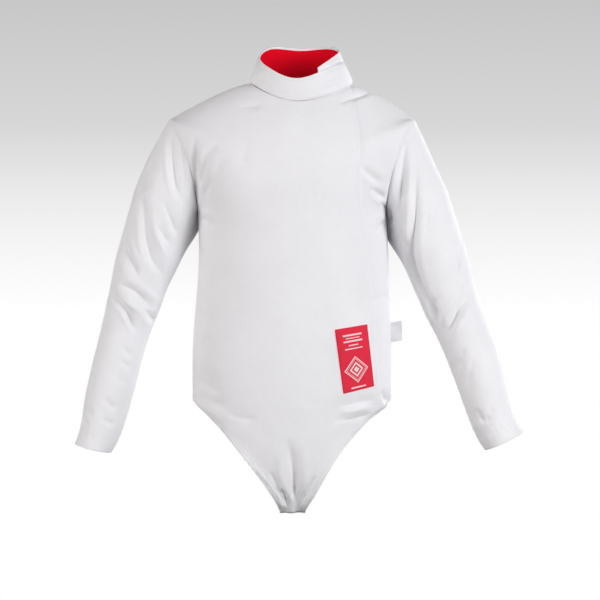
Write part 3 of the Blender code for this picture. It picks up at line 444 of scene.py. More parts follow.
# Creases, as seen from behind
BACK_CREASES = [
    ("right_blade", [(-.142, -.082), (-.137, -.128), (-.120, -.178)], .0084, .0074, 0.2),
    ("left_blade", [(.143, -.078), (.139, -.122), (.126, -.170)], .0084, .0078, -0.2),
    ("right_blade_soft", [(-.122, -.070), (-.112, -.112), (-.092, -.156)], .0126, .0031, 0.0),
    ("left_blade_soft", [(.120, -.074), (.108, -.120), (.084, -.158)], .0126, .0031, 0.0),
    ("right_armpit", [(-.146, -.160), (-.134, -.190), (-.108, -.214)], .0071, .0056, 0.2),
    ("left_armpit", [(.146, -.158), (.136, -.184), (.114, -.204)], .0067, .0053, -0.2),
    ("small_of_back", [(-.100, -.312), (-.050, -.326), (.010, -.331), (.088, -.314)], .0101, .0068, 0.2),
    ("waist_roll", [(-.082, -.346), (-.020, -.356), (.050, -.357), (.108, -.344)], .0092, -.0047, 0.0),
    ("waist_low", [(-.096, -.374), (-.050, -.382), (.000, -.381)], .0084, .0040, -0.2),
    ("waist_short", [(.030, -.386), (.066, -.388), (.102, -.378)], .0080, .0043, 0.2),
    ("left_hip", [(.142, -.402), (.112, -.418), (.070, -.430)], .0088, .0053, 0.0),
    ("right_hip", [(-.144, -.388), (-.116, -.410), (-.074, -.426)], .0088, .0056, 0.2),
    ("spine", [(.004, -.090), (.002, -.170), (.000, -.260)], .0126, .0028, 0.0),
    ("right_elbow", [(-.270, -.300), (-.244, -.314), (-.216, -.322)], .0067, .0053, 0.2),
    ("right_elbow_low", [(-.276, -.332), (-.252, -.342), (-.226, -.344)], .0067, .0047, 0.0),
    ("right_upper_arm", [(-.232, -.176), (-.216, -.218), (-.192, -.250)], .0080, .0053, 0.0),
    ("right_forearm", [(-.262, -.410), (-.252, -.432), (-.250, -.456)], .0067, .0031, 0.0),
    ("right_wrist", [(-.300, -.470), (-.284, -.480), (-.268, -.484)], .0059, .0037, 0.2),
    ("left_elbow", [(.272, -.300), (.248, -.320), (.220, -.330)], .0067, .0056, -0.2),
    ("left_elbow_low", [(.284, -.334), (.260, -.350), (.236, -.356)], .0067, .0047, 0.0),
    ("left_upper_arm", [(.232, -.174), (.216, -.224), (.194, -.262)], .0080, .0050, 0.0),
    ("left_forearm", [(.270, -.392), (.262, -.420), (.266, -.450)], .0071, .0031, 0.0),
    ("left_wrist", [(.316, -.462), (.302, -.476), (.286, -.482)], .0059, .0034, 0.0),
]


# Curves and directions

def spline(knots, values, at):
    """A natural cubic curve through the values, read at the given places."""
    count = len(knots)
    step = np.diff(knots)
    slope = np.diff(values) / step
    system = np.eye(count)
    load = np.zeros(count)
    for i in range(1, count - 1):
        system[i, i - 1:i + 2] = step[i - 1], 2 * (step[i - 1] + step[i]), step[i]
        load[i] = 6 * (slope[i] - slope[i - 1])
    bend = np.linalg.solve(system, load)
    at = np.asarray(at, float)
    i = np.clip(np.searchsorted(knots, at, side="right") - 1, 0, count - 2)
    on, left = at - knots[i], knots[i + 1] - at
    return (
        (bend[i] * left**3 + bend[i + 1] * on**3) / (6 * step[i])
        + (values[i] / step[i] - bend[i] * step[i] / 6) * left
        + (values[i + 1] / step[i] - bend[i + 1] * step[i] / 6) * on
    )


def smooth(share):
    """A soft step from 0 to 1."""
    share = np.clip(share, 0.0, 1.0)
    return share * share * (3 - 2 * share)


def unit(vectors):
    """The vectors at length one."""
    return vectors / np.maximum(np.linalg.norm(vectors, axis=-1, keepdims=True), 1e-12)


def spread(knots, counts):
    """Places from knot to knot, with its own count of steps in each stretch."""
    parts = [np.linspace(a, b, n + 1)[1:] for a, b, n in zip(knots[:-1], knots[1:], counts)]
    return np.concatenate([[knots[0]], *parts])


def crowded(count, pull=0.55):
    """Shares from 0 to 1 that lie closer together at both ends."""
    even = np.linspace(0, 1, count + 1)
    return even - pull * np.sin(2 * np.pi * even) / (2 * np.pi)


def grid_normals(points, ring=False):
    """The outward direction at each point of a grid of rows and columns."""
    along = np.gradient(points, axis=0)
    if ring:
        round_it = np.roll(points, -1, axis=1) - np.roll(points, 1, axis=1)
    else:
        round_it = np.gradient(points, axis=1)
    return unit(np.cross(along, round_it))


def calmed(grid, times, ring=False):
    """A grid of vectors averaged with its neighbours, a few times over."""
    for turn in range(times):
        sides = [("edge", "wrap")[ring and axis == 1] for axis in (0, 1)]
        for axis, side in enumerate(sides):
            wide = np.pad(grid, [(int(axis == k),) * 2 for k in range(3)], mode=side)
            before, after = (np.take(wide, range(i, i + grid.shape[axis]), axis) for i in (0, 2))
            grid = (before + 2 * grid + after) / 4
    return grid


def from_edges(points, edges):
    """How far each point lies from the nearest of the grid's named edges, along the cloth."""
    far = np.full(points.shape[:2], np.inf)
    for edge in edges:
        axis = 0 if edge in ("top", "bottom") else 1
        run = points if edge in ("top", "first") else np.flip(points, axis)
        steps = np.linalg.norm(np.diff(run, axis=axis), axis=-1)
        start = np.zeros(np.take(run, [0], axis=axis).shape[:2])
        length = np.concatenate([start, np.cumsum(steps, axis=axis)], axis=axis)
        if edge in ("bottom", "last"):
            length = np.flip(length, axis)
        far = np.minimum(far, length)
    return far


# The jacket's form

def sleeve_ring(rows, side, place, turn):
    """Points round a sleeve. Place counts the table's rows and turn is in degrees:
    0 at the outer edge, 90 in front and 180 at the inner edge."""
    steps = np.arange(len(rows["bow"]), dtype=float)
    row = {name: spline(steps, values, place) for name, values in rows.items()}
    turn = np.radians(turn)
    across = np.cos(turn)
    x = (row["outer_x"] + row["inner_x"]) / 2 + (row["outer_x"] - row["inner_x"]) / 2 * across
    z = (row["outer_z"] + row["inner_z"]) / 2 + (row["outer_z"] - row["inner_z"]) / 2 * across
    x = x - row["bow"] * np.sin(turn) ** 2
    y = row["mid_y"] - row["half_y"] * np.sin(turn)
    return np.stack([side * x, y, z], axis=-1)


def edge_point(side, front, down):
    """Where a body row ends: on the shoulder, armhole, side seam or leg's edge."""
    name = "right" if side == RIGHT else "left"
    point = np.zeros(down.shape + (3,))
    for rows, low, high in (
            (SHOULDER, 0.0, SHOULDER_TIP), (SIDE, ARMPIT, HIP), (LEG, HIP, TAIL_TIP)):
        here = (down >= low) & (down <= high)
        at = down[here]
        point[here] = np.stack([
            side * spline(rows["down"], rows[name + "_x"], at),
            spline(rows["down"], rows["y"], at),
            spline(rows["down"], rows[name + "_z"], at)], axis=-1)
    here = (down > SHOULDER_TIP) & (down < ARMPIT)
    turn = 180 * (down[here] - SHOULDER_TIP) / (ARMPIT - SHOULDER_TIP)
    sleeve = RIGHT_SLEEVE if side == RIGHT else LEFT_SLEEVE
    point[here] = sleeve_ring(sleeve, side, np.zeros_like(turn), turn if front else -turn)
    return point


def panel_point(rows, front, down, share):
    """The body's surface: down is a row's place, and share runs from -1 at the
    wearer's right edge to 1 at the left."""
    row = {name: spline(rows["down"], values, down) for name, values in rows.items()}
    edge = np.where(
        (share < 0)[..., None], edge_point(RIGHT, front, down), edge_point(LEFT, front, down))
    sweep = np.radians(np.minimum(row["sweep"], 90.0))
    turn = sweep * np.abs(share)
    across = np.sin(turn) / np.sin(sweep)
    ahead = np.maximum((np.cos(turn) - np.cos(sweep)) / (1 - np.cos(sweep)), 0.0) ** row["flat"]
    up = np.sin(np.abs(share) * np.pi / 2) ** row["rise"]
    return np.stack([
        row["mid_x"] + (edge[..., 0] - row["mid_x"]) * across,
        edge[..., 1] + (row["mid_y"] - edge[..., 1]) * ahead,
        row["mid_z"] + (edge[..., 2] - row["mid_z"]) * up], axis=-1)


def share_at(down, x):
    """The front row's share at which the cloth lies x from the middle plane."""
    mid = spline(FRONT["down"], FRONT["mid_x"], down)
    sweep = np.radians(np.minimum(spline(FRONT["down"], FRONT["sweep"], down), 90.0))
    edge = edge_point(LEFT, True, down)[..., 0]
    across = np.clip((x - mid) / (edge - mid), -1.0, 1.0)
    return np.arcsin(across * np.sin(sweep)) / sweep


def front_columns(down):
    """Shares of every front column in each row, with the flap's edge and the
    under-front's edge among them, and the under-front's edge in metres."""
    flap_x = np.interp(down, FLAP["down"], FLAP["x"])
    left = edge_point(LEFT, True, down)[..., 0]
    right = edge_point(RIGHT, True, down)[..., 0]
    runs_out = smooth((down - UNDER_END + FLAP_RUN_OUT) / FLAP_RUN_OUT)
    flap_x = np.where(down > UNDER_END, left, flap_x + (left - 0.0005 - flap_x) * runs_out)
    under_x = flap_x - np.minimum(UNDER_LAP, UNDER_SHARE * (left - right))
    flap, under = share_at(down, flap_x), share_at(down, under_x)
    to_under, to_flap, to_side = FRONT_COLUMNS
    near_edge = crowded(2 * to_under)[:to_under + 1] * 2
    near_flap = 1 - near_edge[::-1]
    lap = np.interp(np.linspace(0, 1, to_flap + 1), np.linspace(0, 1, to_under + 1), near_flap)
    lap = (lap - lap[0]) / (lap[-1] - lap[0])
    shares = np.concatenate([
        -1 + (under[:, None] + 1) * near_edge / near_edge[-1],
        under[:, None] + (flap - under)[:, None] * lap[1:],
        flap[:, None] + (1 - flap)[:, None] * np.linspace(0, 1, to_side + 1)[1:]], axis=1)
    return shares, under_x


def neckline(turn):
    """A point on the neckline, by degrees from the front's middle towards the wearer's left."""
    turn = (turn + 90.0) % 360.0 - 90.0
    top = np.zeros_like(turn)
    front = panel_point(FRONT, True, top, np.clip(turn / 90.0, -1, 1))
    back = panel_point(BACK, False, top, np.clip((180.0 - turn) / 90.0, -1, 1))
    return np.where((turn <= 90.0)[..., None], front, back)


# Creases, puckers and hems

def crease(flat, knots, width, lean):
    """A soft trough along a smooth line through the knots, with a low lip on both
    sides: 1 along its middle and 0 away from it."""
    knots = np.array(knots, float)
    length = np.concatenate([[0], np.cumsum(np.linalg.norm(np.diff(knots, axis=0), axis=1))])
    places = np.linspace(0, length[-1], 15)
    line = np.stack([spline(length, knots[:, k], places) for k in range(2)], axis=-1)
    value = np.zeros(flat.shape[:2])
    near = ((flat > line.min(0) - 4 * width) & (flat < line.max(0) + 4 * width)).all(axis=-1)
    points = flat[near]
    nearest = np.full(len(points), np.inf)
    along = np.zeros(len(points))
    side = np.zeros(len(points))
    for i in range(len(line) - 1):
        run = line[i + 1] - line[i]
        off = points - line[i]
        place = np.clip(off @ run / (run @ run), 0.0, 1.0)
        away = np.linalg.norm(off - place[:, None] * run, axis=-1)
        closer = away < nearest
        along = np.where(closer, (i + place) / (len(line) - 1), along)
        side = np.where(closer, np.sign(run[0] * off[:, 1] - run[1] * off[:, 0]), side)
        nearest = np.minimum(away, nearest)
    reach = nearest / (width * (1 + lean * side))
    ends = smooth(along / CREASE_ENDS) * smooth((1 - along) / CREASE_ENDS)
    ends = ends * (0.85 + 0.15 * np.cos(9 * along))
    trough = 0.5 * np.exp(-reach**2) + 0.5 * np.exp(-(reach / CREASE_CORE) ** 2)
    value[near] = (trough - LIP_HIGH * np.exp(-((reach - LIP_AWAY) / LIP_WIDE) ** 2)) * ends
    return value


def crease_depth(points, creases):
    """How deep all the creases of one list press the points in."""
    flat = points[..., [0, 2]]
    return sum(deep * crease(flat, knots, width, lean) for _, knots, width, deep, lean in creases)


def creased(points, normals, seam_far):
    """The cloth with its creases pressed in. Beside a seam they sink straight back,
    so that both pieces move together, and elsewhere along the cloth's own normal."""
    own = smooth(seam_far / SEAM_REACH)[..., None]
    moved = points.copy()
    for creases, facing in ((FRONT_CREASES, -1), (BACK_CREASES, 1)):
        turned = smooth(facing * normals[..., 1] / FOLD_FADE)
        placed = smooth(facing * (points[..., 1] - SEAM_Y) / SEAM_TURN)
        seen = placed + (turned - placed) * own[..., 0]
        straight = np.array([0.0, facing, 0.0])
        toward = unit(straight + (normals - straight) * own)
        moved -= (crease_depth(points, creases) * seen)[..., None] * toward
    return moved


def soft_waves(points, scale, seed):
    """Slow unevenness from -1 to 1, the same at each run."""
    offset = Vector((seed * 3.1, seed * 1.7, seed * 2.3))
    values = [noise.noise(Vector(p) / scale + offset) for p in points.reshape(-1, 3)]
    return np.array(values).reshape(points.shape[:2])


def puckers(far, along, deep, reach, pitch):
    """The small ripples of a sewn seam, which run out into the cloth."""
    wander = 1.3 * np.sin(along / 0.031) + 0.8 * np.sin(along / 0.0127 + 1.0)
    ripple = np.sin(2 * np.pi * along / pitch + wander)
    return deep * ripple * (0.6 + 0.4 * np.sin(along / 0.023)) * np.exp(-(far / reach) ** 1.5)


def along_edge(points, axis):
    """Lengths along the grid's rows or columns, from their first point."""
    steps = np.linalg.norm(np.diff(points, axis=axis), axis=-1)
    start = np.zeros(np.take(points, [0], axis=axis).shape[:2])
    return np.concatenate([start, np.cumsum(steps, axis=axis)], axis=axis)


def hem(far, width, thick, groove):
    """The step of a turned hem, with its stitched groove."""
    step = thick * (1 - smooth((far - width) / HEM_SOFT))
    return step - groove * np.exp(-((far - width + HEM_STITCH) / GROOVE_WIDE) ** 2)


def seam_line(far, deep, reach):
    """The dip beside a sewn seam."""
    return -deep * np.exp(-(far / reach) ** 2)


# Shells

def set_back(points, normals, edges, by):
    """Draws the cloth beside a grid's named edges back into the piece."""
    moved = points.copy()
    for edge in edges:
        here, inside = (0, 3) if edge in ("top", "first") else (-1, -4)
        rows = edge in ("top", "bottom")
        line = points[here] if rows else points[:, here]
        inner = points[inside] if rows else points[:, inside]
        up = normals[here] if rows else normals[:, here]
        side = unit(np.cross(np.gradient(line, axis=0), up))
        side = side * np.sign(np.sum(side * (inner - line), axis=-1, keepdims=True))
        side = side[None] if rows else side[:, None]
        fade = 1 - smooth(from_edges(points, [edge]) / BACK_FADE)
        moved += side * (by * fade)[..., None]
    return moved


def cloth_lengths(points, ring=False):
    """The cloth's own coordinates in metres, across from its middle and down."""
    if ring:
        points = np.concatenate([points, points[:, :1]], axis=1)
    across = along_edge(points, 1)
    middle = across.shape[1] // 2
    across = across - across[:, middle:middle + 1]
    down = along_edge(points, 0)[:, middle:middle + 1]
    return np.stack([across, np.broadcast_to(down, across.shape)], axis=-1)


def shell(name, outer, inner, ring=False):
    """A closed piece of cloth between two grids, with its edges rounded as if turned."""
    rows, columns = outer.shape[:2]
    flat = cloth_lengths(outer, ring)
    vertex = np.arange(rows * columns).reshape(rows, columns)
    corner = np.arange(rows * flat.shape[1]).reshape(rows, flat.shape[1])
    if ring:
        vertex = np.concatenate([vertex, vertex[:, :1]], axis=1)
        loops = [(grid[0], grid[-1, ::-1]) for grid in (vertex, corner)]
        loops = list(zip(*loops))
    else:
        loops = [[np.concatenate([g[0, :-1], g[:-1, -1], g[-1, :0:-1], g[:0:-1, 0], g[0, :1]])
                  for g in (vertex, corner)]]
    points = [outer.reshape(-1, 3), inner.reshape(-1, 3)]
    under = rows * columns
    faces, corners = [], []
    for grid, made in ((vertex, faces), (corner, corners)):
        a, b, c, d = grid[:-1, :-1], grid[1:, :-1], grid[1:, 1:], grid[:-1, 1:]
        lower = under if made is faces else 0
        made.append(np.stack([a, b, c, d], axis=-1).reshape(-1, 4))
        made.append(np.stack([a, d, c, b], axis=-1).reshape(-1, 4) + lower)
    count = 2 * under
    for edge, flat_edge in loops:
        edge_once = edge[:-1]
        top, low = points[0][edge_once], points[1][edge_once]
        half = (top - low) / 2
        tangent = np.roll(top, -1, axis=0) - np.roll(top, 1, axis=0)
        out = unit(np.cross(half, tangent)) * np.linalg.norm(half, axis=1, keepdims=True)
        before = edge
        for angle in np.radians([40, 90, 140]):
            points.append((top + low) / 2 + half * np.cos(angle) + out * np.sin(angle))
            after = count + np.append(np.arange(len(edge_once)), 0)
            faces.append(np.stack([before[:-1], before[1:], after[1:], after[:-1]], axis=-1))
            corners.append(np.stack([flat_edge[:-1], flat_edge[1:]] * 2, axis=-1)[:, [0, 1, 3, 2]])
            before = after
            count += len(edge_once)
        after = edge + under
        faces.append(np.stack([before[:-1], before[1:], after[1:], after[:-1]], axis=-1))
        corners.append(np.stack([flat_edge[:-1], flat_edge[1:]] * 2, axis=-1)[:, [0, 1, 3, 2]])
    return mesh_object(name, np.concatenate(points), np.concatenate(faces).tolist(),
                       flat.reshape(-1, 2)[np.concatenate(corners)])


def mesh_object(name, points, faces, flat=None):
    """A new smooth object of these points and faces, with the cloth's own map."""
    mesh = bpy.data.meshes.new(name)
    mesh.from_pydata(points.tolist(), [], faces)
    if flat is not None:
        mesh.uv_layers.new(name="cloth").data.foreach_set("uv", flat.reshape(-1))
    mesh.shade_smooth()
    made = bpy.data.objects.new(name, mesh)
    bpy.context.scene.collection.objects.link(made)
    return made


def finish_shell(name, points, far, ring=False, wall=WALL, wavy=0.0011, seed=1.0):
    """The shell of a creased grid, uneven away from its seams, and its outer face:
    the face's points and normals."""
    normals = grid_normals(points, ring)
    calm = smooth(far / CALM_REACH)
    uneven = wavy * soft_waves(points, BROAD_WAVE, seed)
    uneven = uneven + FINE_SHARE * wavy * soft_waves(points, FINE_WAVE, seed + 4)
    points = points + (uneven * calm)[..., None] * normals
    normals = unit(calmed(grid_normals(points, ring), 3, ring))
    return shell(name, points, points - wall * normals, ring), (points, normals)


# Stitches

def line_on(points, normals, rows, columns):
    """Points and normals on a grid at places between its rows and columns."""
    r = np.clip(rows, 0, points.shape[0] - 1.001)
    c = np.clip(columns, 0, points.shape[1] - 1.001)
    r0, c0 = r.astype(int), c.astype(int)
    fr, fc = (r - r0)[:, None], (c - c0)[:, None]
    return [
        (grid[r0, c0] * (1 - fr) + grid[r0 + 1, c0] * fr) * (1 - fc)
        + (grid[r0, c0 + 1] * (1 - fr) + grid[r0 + 1, c0 + 1] * fr) * fc
        for grid in (points, normals)]


def beside_edge(face, edge, far, span=(0.0, 1.0)):
    """A line on a face that keeps its distance from one edge, over a span of that edge."""
    points, normals = face
    away = from_edges(points, [edge])
    level = edge in ("top", "bottom")
    if not level:
        away = away.T
    last = away.shape[1] - 1
    along = np.arange(int(span[0] * last), int(span[1] * last) + 1)
    order = 1 if edge in ("top", "first") else -1
    numbers = np.arange(away.shape[0])
    inward = np.array([np.interp(far, away[::order, i], numbers[::order]) for i in along])
    along = along.astype(float)
    rows, columns = (inward, along) if level else (along, inward)
    return line_on(points, normals, rows, columns)


def one_stitch():
    """The points and faces of one stitch, a slim bead of thread."""
    bpy.ops.object.select_all(action="DESELECT")
    bpy.ops.mesh.primitive_uv_sphere_add(
        segments=6, ring_count=6, radius=1.0, rotation=(0, np.pi / 2, 0))
    bead = bpy.context.object
    bpy.ops.object.transform_apply(location=True, rotation=True, scale=True)
    points = np.array([v.co for v in bead.data.vertices]) * STITCH_SIZE
    faces = [list(face.vertices) for face in bead.data.polygons]
    bpy.data.objects.remove(bead)
    return points, faces


def read_line(length, values, at):
    """A line's vectors at the given lengths along it."""
    return np.stack([np.interp(at, length, values[:, k]) for k in range(3)], axis=-1)


def stitches(name, lines):
    """Rows of stitches along lines of points and normals, as one piece of thread."""
    shape, shape_faces = one_stitch()
    placed, faces = [], []
    for points, normals in lines:
        length = along_edge(points[None], 1)[0]
        if length[-1] < 2 * STITCH_PITCH:
            continue
        at = np.arange(STITCH_PITCH / 2, length[-1], STITCH_PITCH)
        middle = read_line(length, points, at)
        up = unit(read_line(length, normals, at))
        along = unit(read_line(length, points, at + 2e-4) - read_line(length, points, at - 2e-4))
        side = unit(np.cross(up, along))
        for m, a, s, u in zip(middle, along, side, up):
            start = len(placed) * len(shape)
            placed.append(m + u * STITCH_LIFT + shape @ np.stack([a, s, u]))
            faces.extend([start + v for v in face] for face in shape_faces)
    return mesh_object(name, np.concatenate(placed), faces)


# Finishes

def group_socket(group, name, value=None):
    """A named number on a node group: an input with its value, or else an output."""
    way = "OUTPUT" if value is None else "INPUT"
    socket = group.interface.new_socket(name=name, in_out=way, socket_type="NodeSocketFloat")
    if value is not None:
        socket.default_value = value


def node(tree, kind, **inputs):
    """A new node. Inputs go by name, or by number as _0, and take a value or a link."""
    made = tree.nodes.new("ShaderNode" + kind)
    for name, value in inputs.items():
        if name in ("operation", "data_type"):
            setattr(made, name, value)
            continue
        key = int(name[1:]) if name[0] == "_" else name.replace("_", " ")
        if isinstance(value, bpy.types.NodeSocket):
            tree.links.new(value, made.inputs[key])
        else:
            made.inputs[key].default_value = value
    return made


def maths(tree, operation, first, second=0.0):
    """The result of one Math node."""
    return node(tree, "Math", operation=operation, _0=first, _1=second).outputs[0]


def weave_group():
    """Crossing threads on the cloth's own map, with a diagonal rib like a gabardine's."""
    group = bpy.data.node_groups.new("woven threads", "ShaderNodeTree")
    group_socket(group, "Threads", value=1800.0)
    group_socket(group, "Rib", value=0.5)
    group_socket(group, "Height")
    start, end = group.nodes.new("NodeGroupInput"), group.nodes.new("NodeGroupOutput")
    threads, rib = start.outputs["Threads"], start.outputs["Rib"]
    place = node(group, "SeparateXYZ", Vector=group.nodes.new("ShaderNodeUVMap").outputs[0])
    across = maths(group, "MULTIPLY", place.outputs[0], threads)
    down = maths(group, "MULTIPLY", place.outputs[1], threads)
    half_turns = [maths(group, "ABSOLUTE", maths(group, "SINE", maths(group, "MULTIPLY", way, np.pi)))
                  for way in (across, down)]
    cells = maths(group, "ADD", maths(group, "FLOOR", across), maths(group, "FLOOR", down))
    over = maths(group, "FLOORED_MODULO", cells, 2.0)
    threads_up = node(group, "Mix", data_type="FLOAT", _0=over, _2=half_turns[0], _3=half_turns[1])
    diagonal = maths(group, "MULTIPLY", maths(group, "ADD", across, down), np.pi / 2)
    ribs = maths(group, "MULTIPLY", maths(group, "SINE", diagonal), rib)
    group.links.new(maths(group, "ADD", threads_up.outputs[0], ribs), end.inputs[0])
    return group


def mottle_group():
    """Soft unevenness of cloth that has been sewn and worn, at two sizes."""
    group = bpy.data.node_groups.new("soft mottling", "ShaderNodeTree")
    group_socket(group, "Broad", value=14.0)
    group_socket(group, "Fine", value=160.0)
    group_socket(group, "Shade")
    group_socket(group, "Crumple")
    start, end = group.nodes.new("NodeGroupInput"), group.nodes.new("NodeGroupOutput")
    place = group.nodes.new("ShaderNodeTexCoord").outputs["Object"]
    broad = node(group, "TexNoise", Vector=place, Scale=start.outputs[0], Detail=2.0, Roughness=0.5)
    fine = node(group, "TexNoise", Vector=place, Scale=start.outputs[1], Detail=3.0, Roughness=0.6)
    both = maths(group, "ADD", maths(group, "MULTIPLY", broad.outputs[0], 0.6),
                 maths(group, "MULTIPLY", fine.outputs[0], 0.4))
    group.links.new(both, end.inputs[0])
    group.links.new(fine.outputs[0], end.inputs[1])
    return group


WEAVE, MOTTLE = weave_group(), mottle_group()


def new_material(name):
    """A material with its nodes and its shader."""
    made = bpy.data.materials.new(name)
    made.use_nodes = True
    return made, made.node_tree, made.node_tree.nodes["Principled BSDF"]


def mixed(tree, share, first, second):
    """Two colours blended by a share from 0 to 1."""
    return node(tree, "Mix", data_type="RGBA", Factor=share, _6=first, _7=second).outputs[2]


def use_group(tree, group, **values):
    """A node group placed in a material with its own values."""
    made = tree.nodes.new("ShaderNodeGroup")
    made.node_tree = group
    for name, value in values.items():
        made.inputs[name].default_value = value
    return made


def cloth_material(name, dark, light, roughness, sheen, threads, relief, rib=0.5, gloss=0.35):
    """Woven cloth: mottled colour, a fine weave and a slight crumple."""
    made, tree, shader = new_material(name)
    mottle = use_group(tree, MOTTLE)
    weave = use_group(tree, WEAVE, Threads=threads, Rib=rib)
    shade = node(tree, "MapRange", Value=mottle.outputs[0], From_Min=0.35, From_Max=0.65)
    colour = mixed(tree, shade.outputs[0], (*dark, 1.0), (*light, 1.0))
    tree.links.new(colour, shader.inputs["Base Color"])
    rough = node(tree, "MapRange", Value=mottle.outputs[1], From_Min=0.3, From_Max=0.7,
                 To_Min=roughness - 0.05, To_Max=roughness + 0.06)
    tree.links.new(rough.outputs[0], shader.inputs["Roughness"])
    crumpled = node(tree, "Bump", Height=mottle.outputs[1], Distance=0.0004, Strength=0.5)
    woven = node(tree, "Bump", Height=weave.outputs[0], Distance=relief, Strength=0.6)
    tree.links.new(crumpled.outputs[0], woven.inputs["Normal"])
    tree.links.new(woven.outputs[0], shader.inputs["Normal"])
    for name, value in (("Sheen Weight", sheen), ("Sheen Roughness", 0.45), ("Specular IOR Level", gloss)):
        shader.inputs[name].default_value = value
    return made, tree, shader, colour


def band_mask(tree, value, middle, half, soft):
    """1 where the value lies within half of the middle, with a soft edge."""
    away = maths(tree, "ABSOLUTE", maths(tree, "SUBTRACT", value, middle))
    return node(tree, "MapRange", Value=away, From_Min=half + soft, From_Max=half - soft).outputs[0]


def patch_material():
    """The woven patch: a thin pale frame, a lozenge and bars of pale thread on red."""
    made, tree, shader, colour = cloth_material(
        "red_patch_cloth", (0.74, 0.010, 0.040), (0.84, 0.016, 0.055),
        0.55, 0.03, 1500.0, 0.00015, 0.2, 0.2)
    place = node(tree, "SeparateXYZ", Vector=tree.nodes.new("ShaderNodeUVMap").outputs[0])
    across, down = place.outputs[0], place.outputs[1]
    lozenge = maths(tree, "ADD", maths(tree, "ABSOLUTE", across),
                    maths(tree, "ABSOLUTE", maths(tree, "SUBTRACT", down, PATCH_MIDDLE)))
    marks = [band_mask(tree, lozenge, ring, half, 0.0002) for ring, half in PATCH_LOZENGES]
    for top, wide, half in PATCH_BARS:
        line = band_mask(tree, down, top, half, 0.0002)
        marks.append(maths(tree, "MULTIPLY", line, band_mask(tree, across, 0.0, wide, 0.0003)))
    mask = marks[0]
    for mark in marks[1:]:
        mask = maths(tree, "MAXIMUM", mask, mark)
    tree.links.new(mixed(tree, mask, colour, PATCH_THREAD), shader.inputs["Base Color"])
    return made


def thread_material(name, colour, roughness):
    """Twisted sewing thread."""
    made, tree, shader = new_material(name)
    mottle = use_group(tree, MOTTLE, Broad=300.0, Fine=2600.0)
    tone = mixed(tree, mottle.outputs[0], (*[0.88 * c for c in colour], 1.0), (*colour, 1.0))
    tree.links.new(tone, shader.inputs["Base Color"])
    bump = node(tree, "Bump", Height=mottle.outputs[1], Distance=0.0001, Strength=0.5)
    tree.links.new(bump.outputs[0], shader.inputs["Normal"])
    shader.inputs["Roughness"].default_value = roughness
    return made


WHITE_CLOTH = cloth_material(
    "white_jacket_cloth", (0.84, 0.835, 0.85), (0.88, 0.875, 0.89), 0.66, 0.10, 1700.0, 0.00012)[0]
RED_LINING = cloth_material(
    "red_lining_cloth", (0.82, 0.0005, 0.014), (0.90, 0.001, 0.020),
    0.75, 0.0, 1500.0, 0.00018, 0.3, 0.08)[0]
WHITE_TAPE = cloth_material(
    "white_satin_tape", (0.78, 0.785, 0.80), (0.84, 0.845, 0.86), 0.42, 0.0, 1300.0, 0.00010, 0.9)[0]
WEBBING = cloth_material(
    "white_strap_webbing", (0.76, 0.77, 0.78), (0.82, 0.83, 0.84), 0.60, 0.05, 900.0, 0.00030, 0.2)[0]
RED_PATCH = patch_material()
WHITE_THREAD = thread_material("white_thread", (0.84, 0.845, 0.855), 0.5)
RED_THREAD = thread_material("red_thread", (0.58, 0.01, 0.04), 0.5)


def dress(piece, material):
    """Gives a piece its finish and lets it ride on the jacket."""
    piece.data.materials.append(material)
    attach(piece, "root")
    return piece


# The pieces of the jacket

def eased(base):
    """The body's surface with the break below the shoulder's tip rounded off."""
    far = from_edges(base, ["top", "bottom", "first", "last"])
    return base + (calmed(base, EASE_TIMES) - base) * smooth(far / EASE_REACH)[..., None]


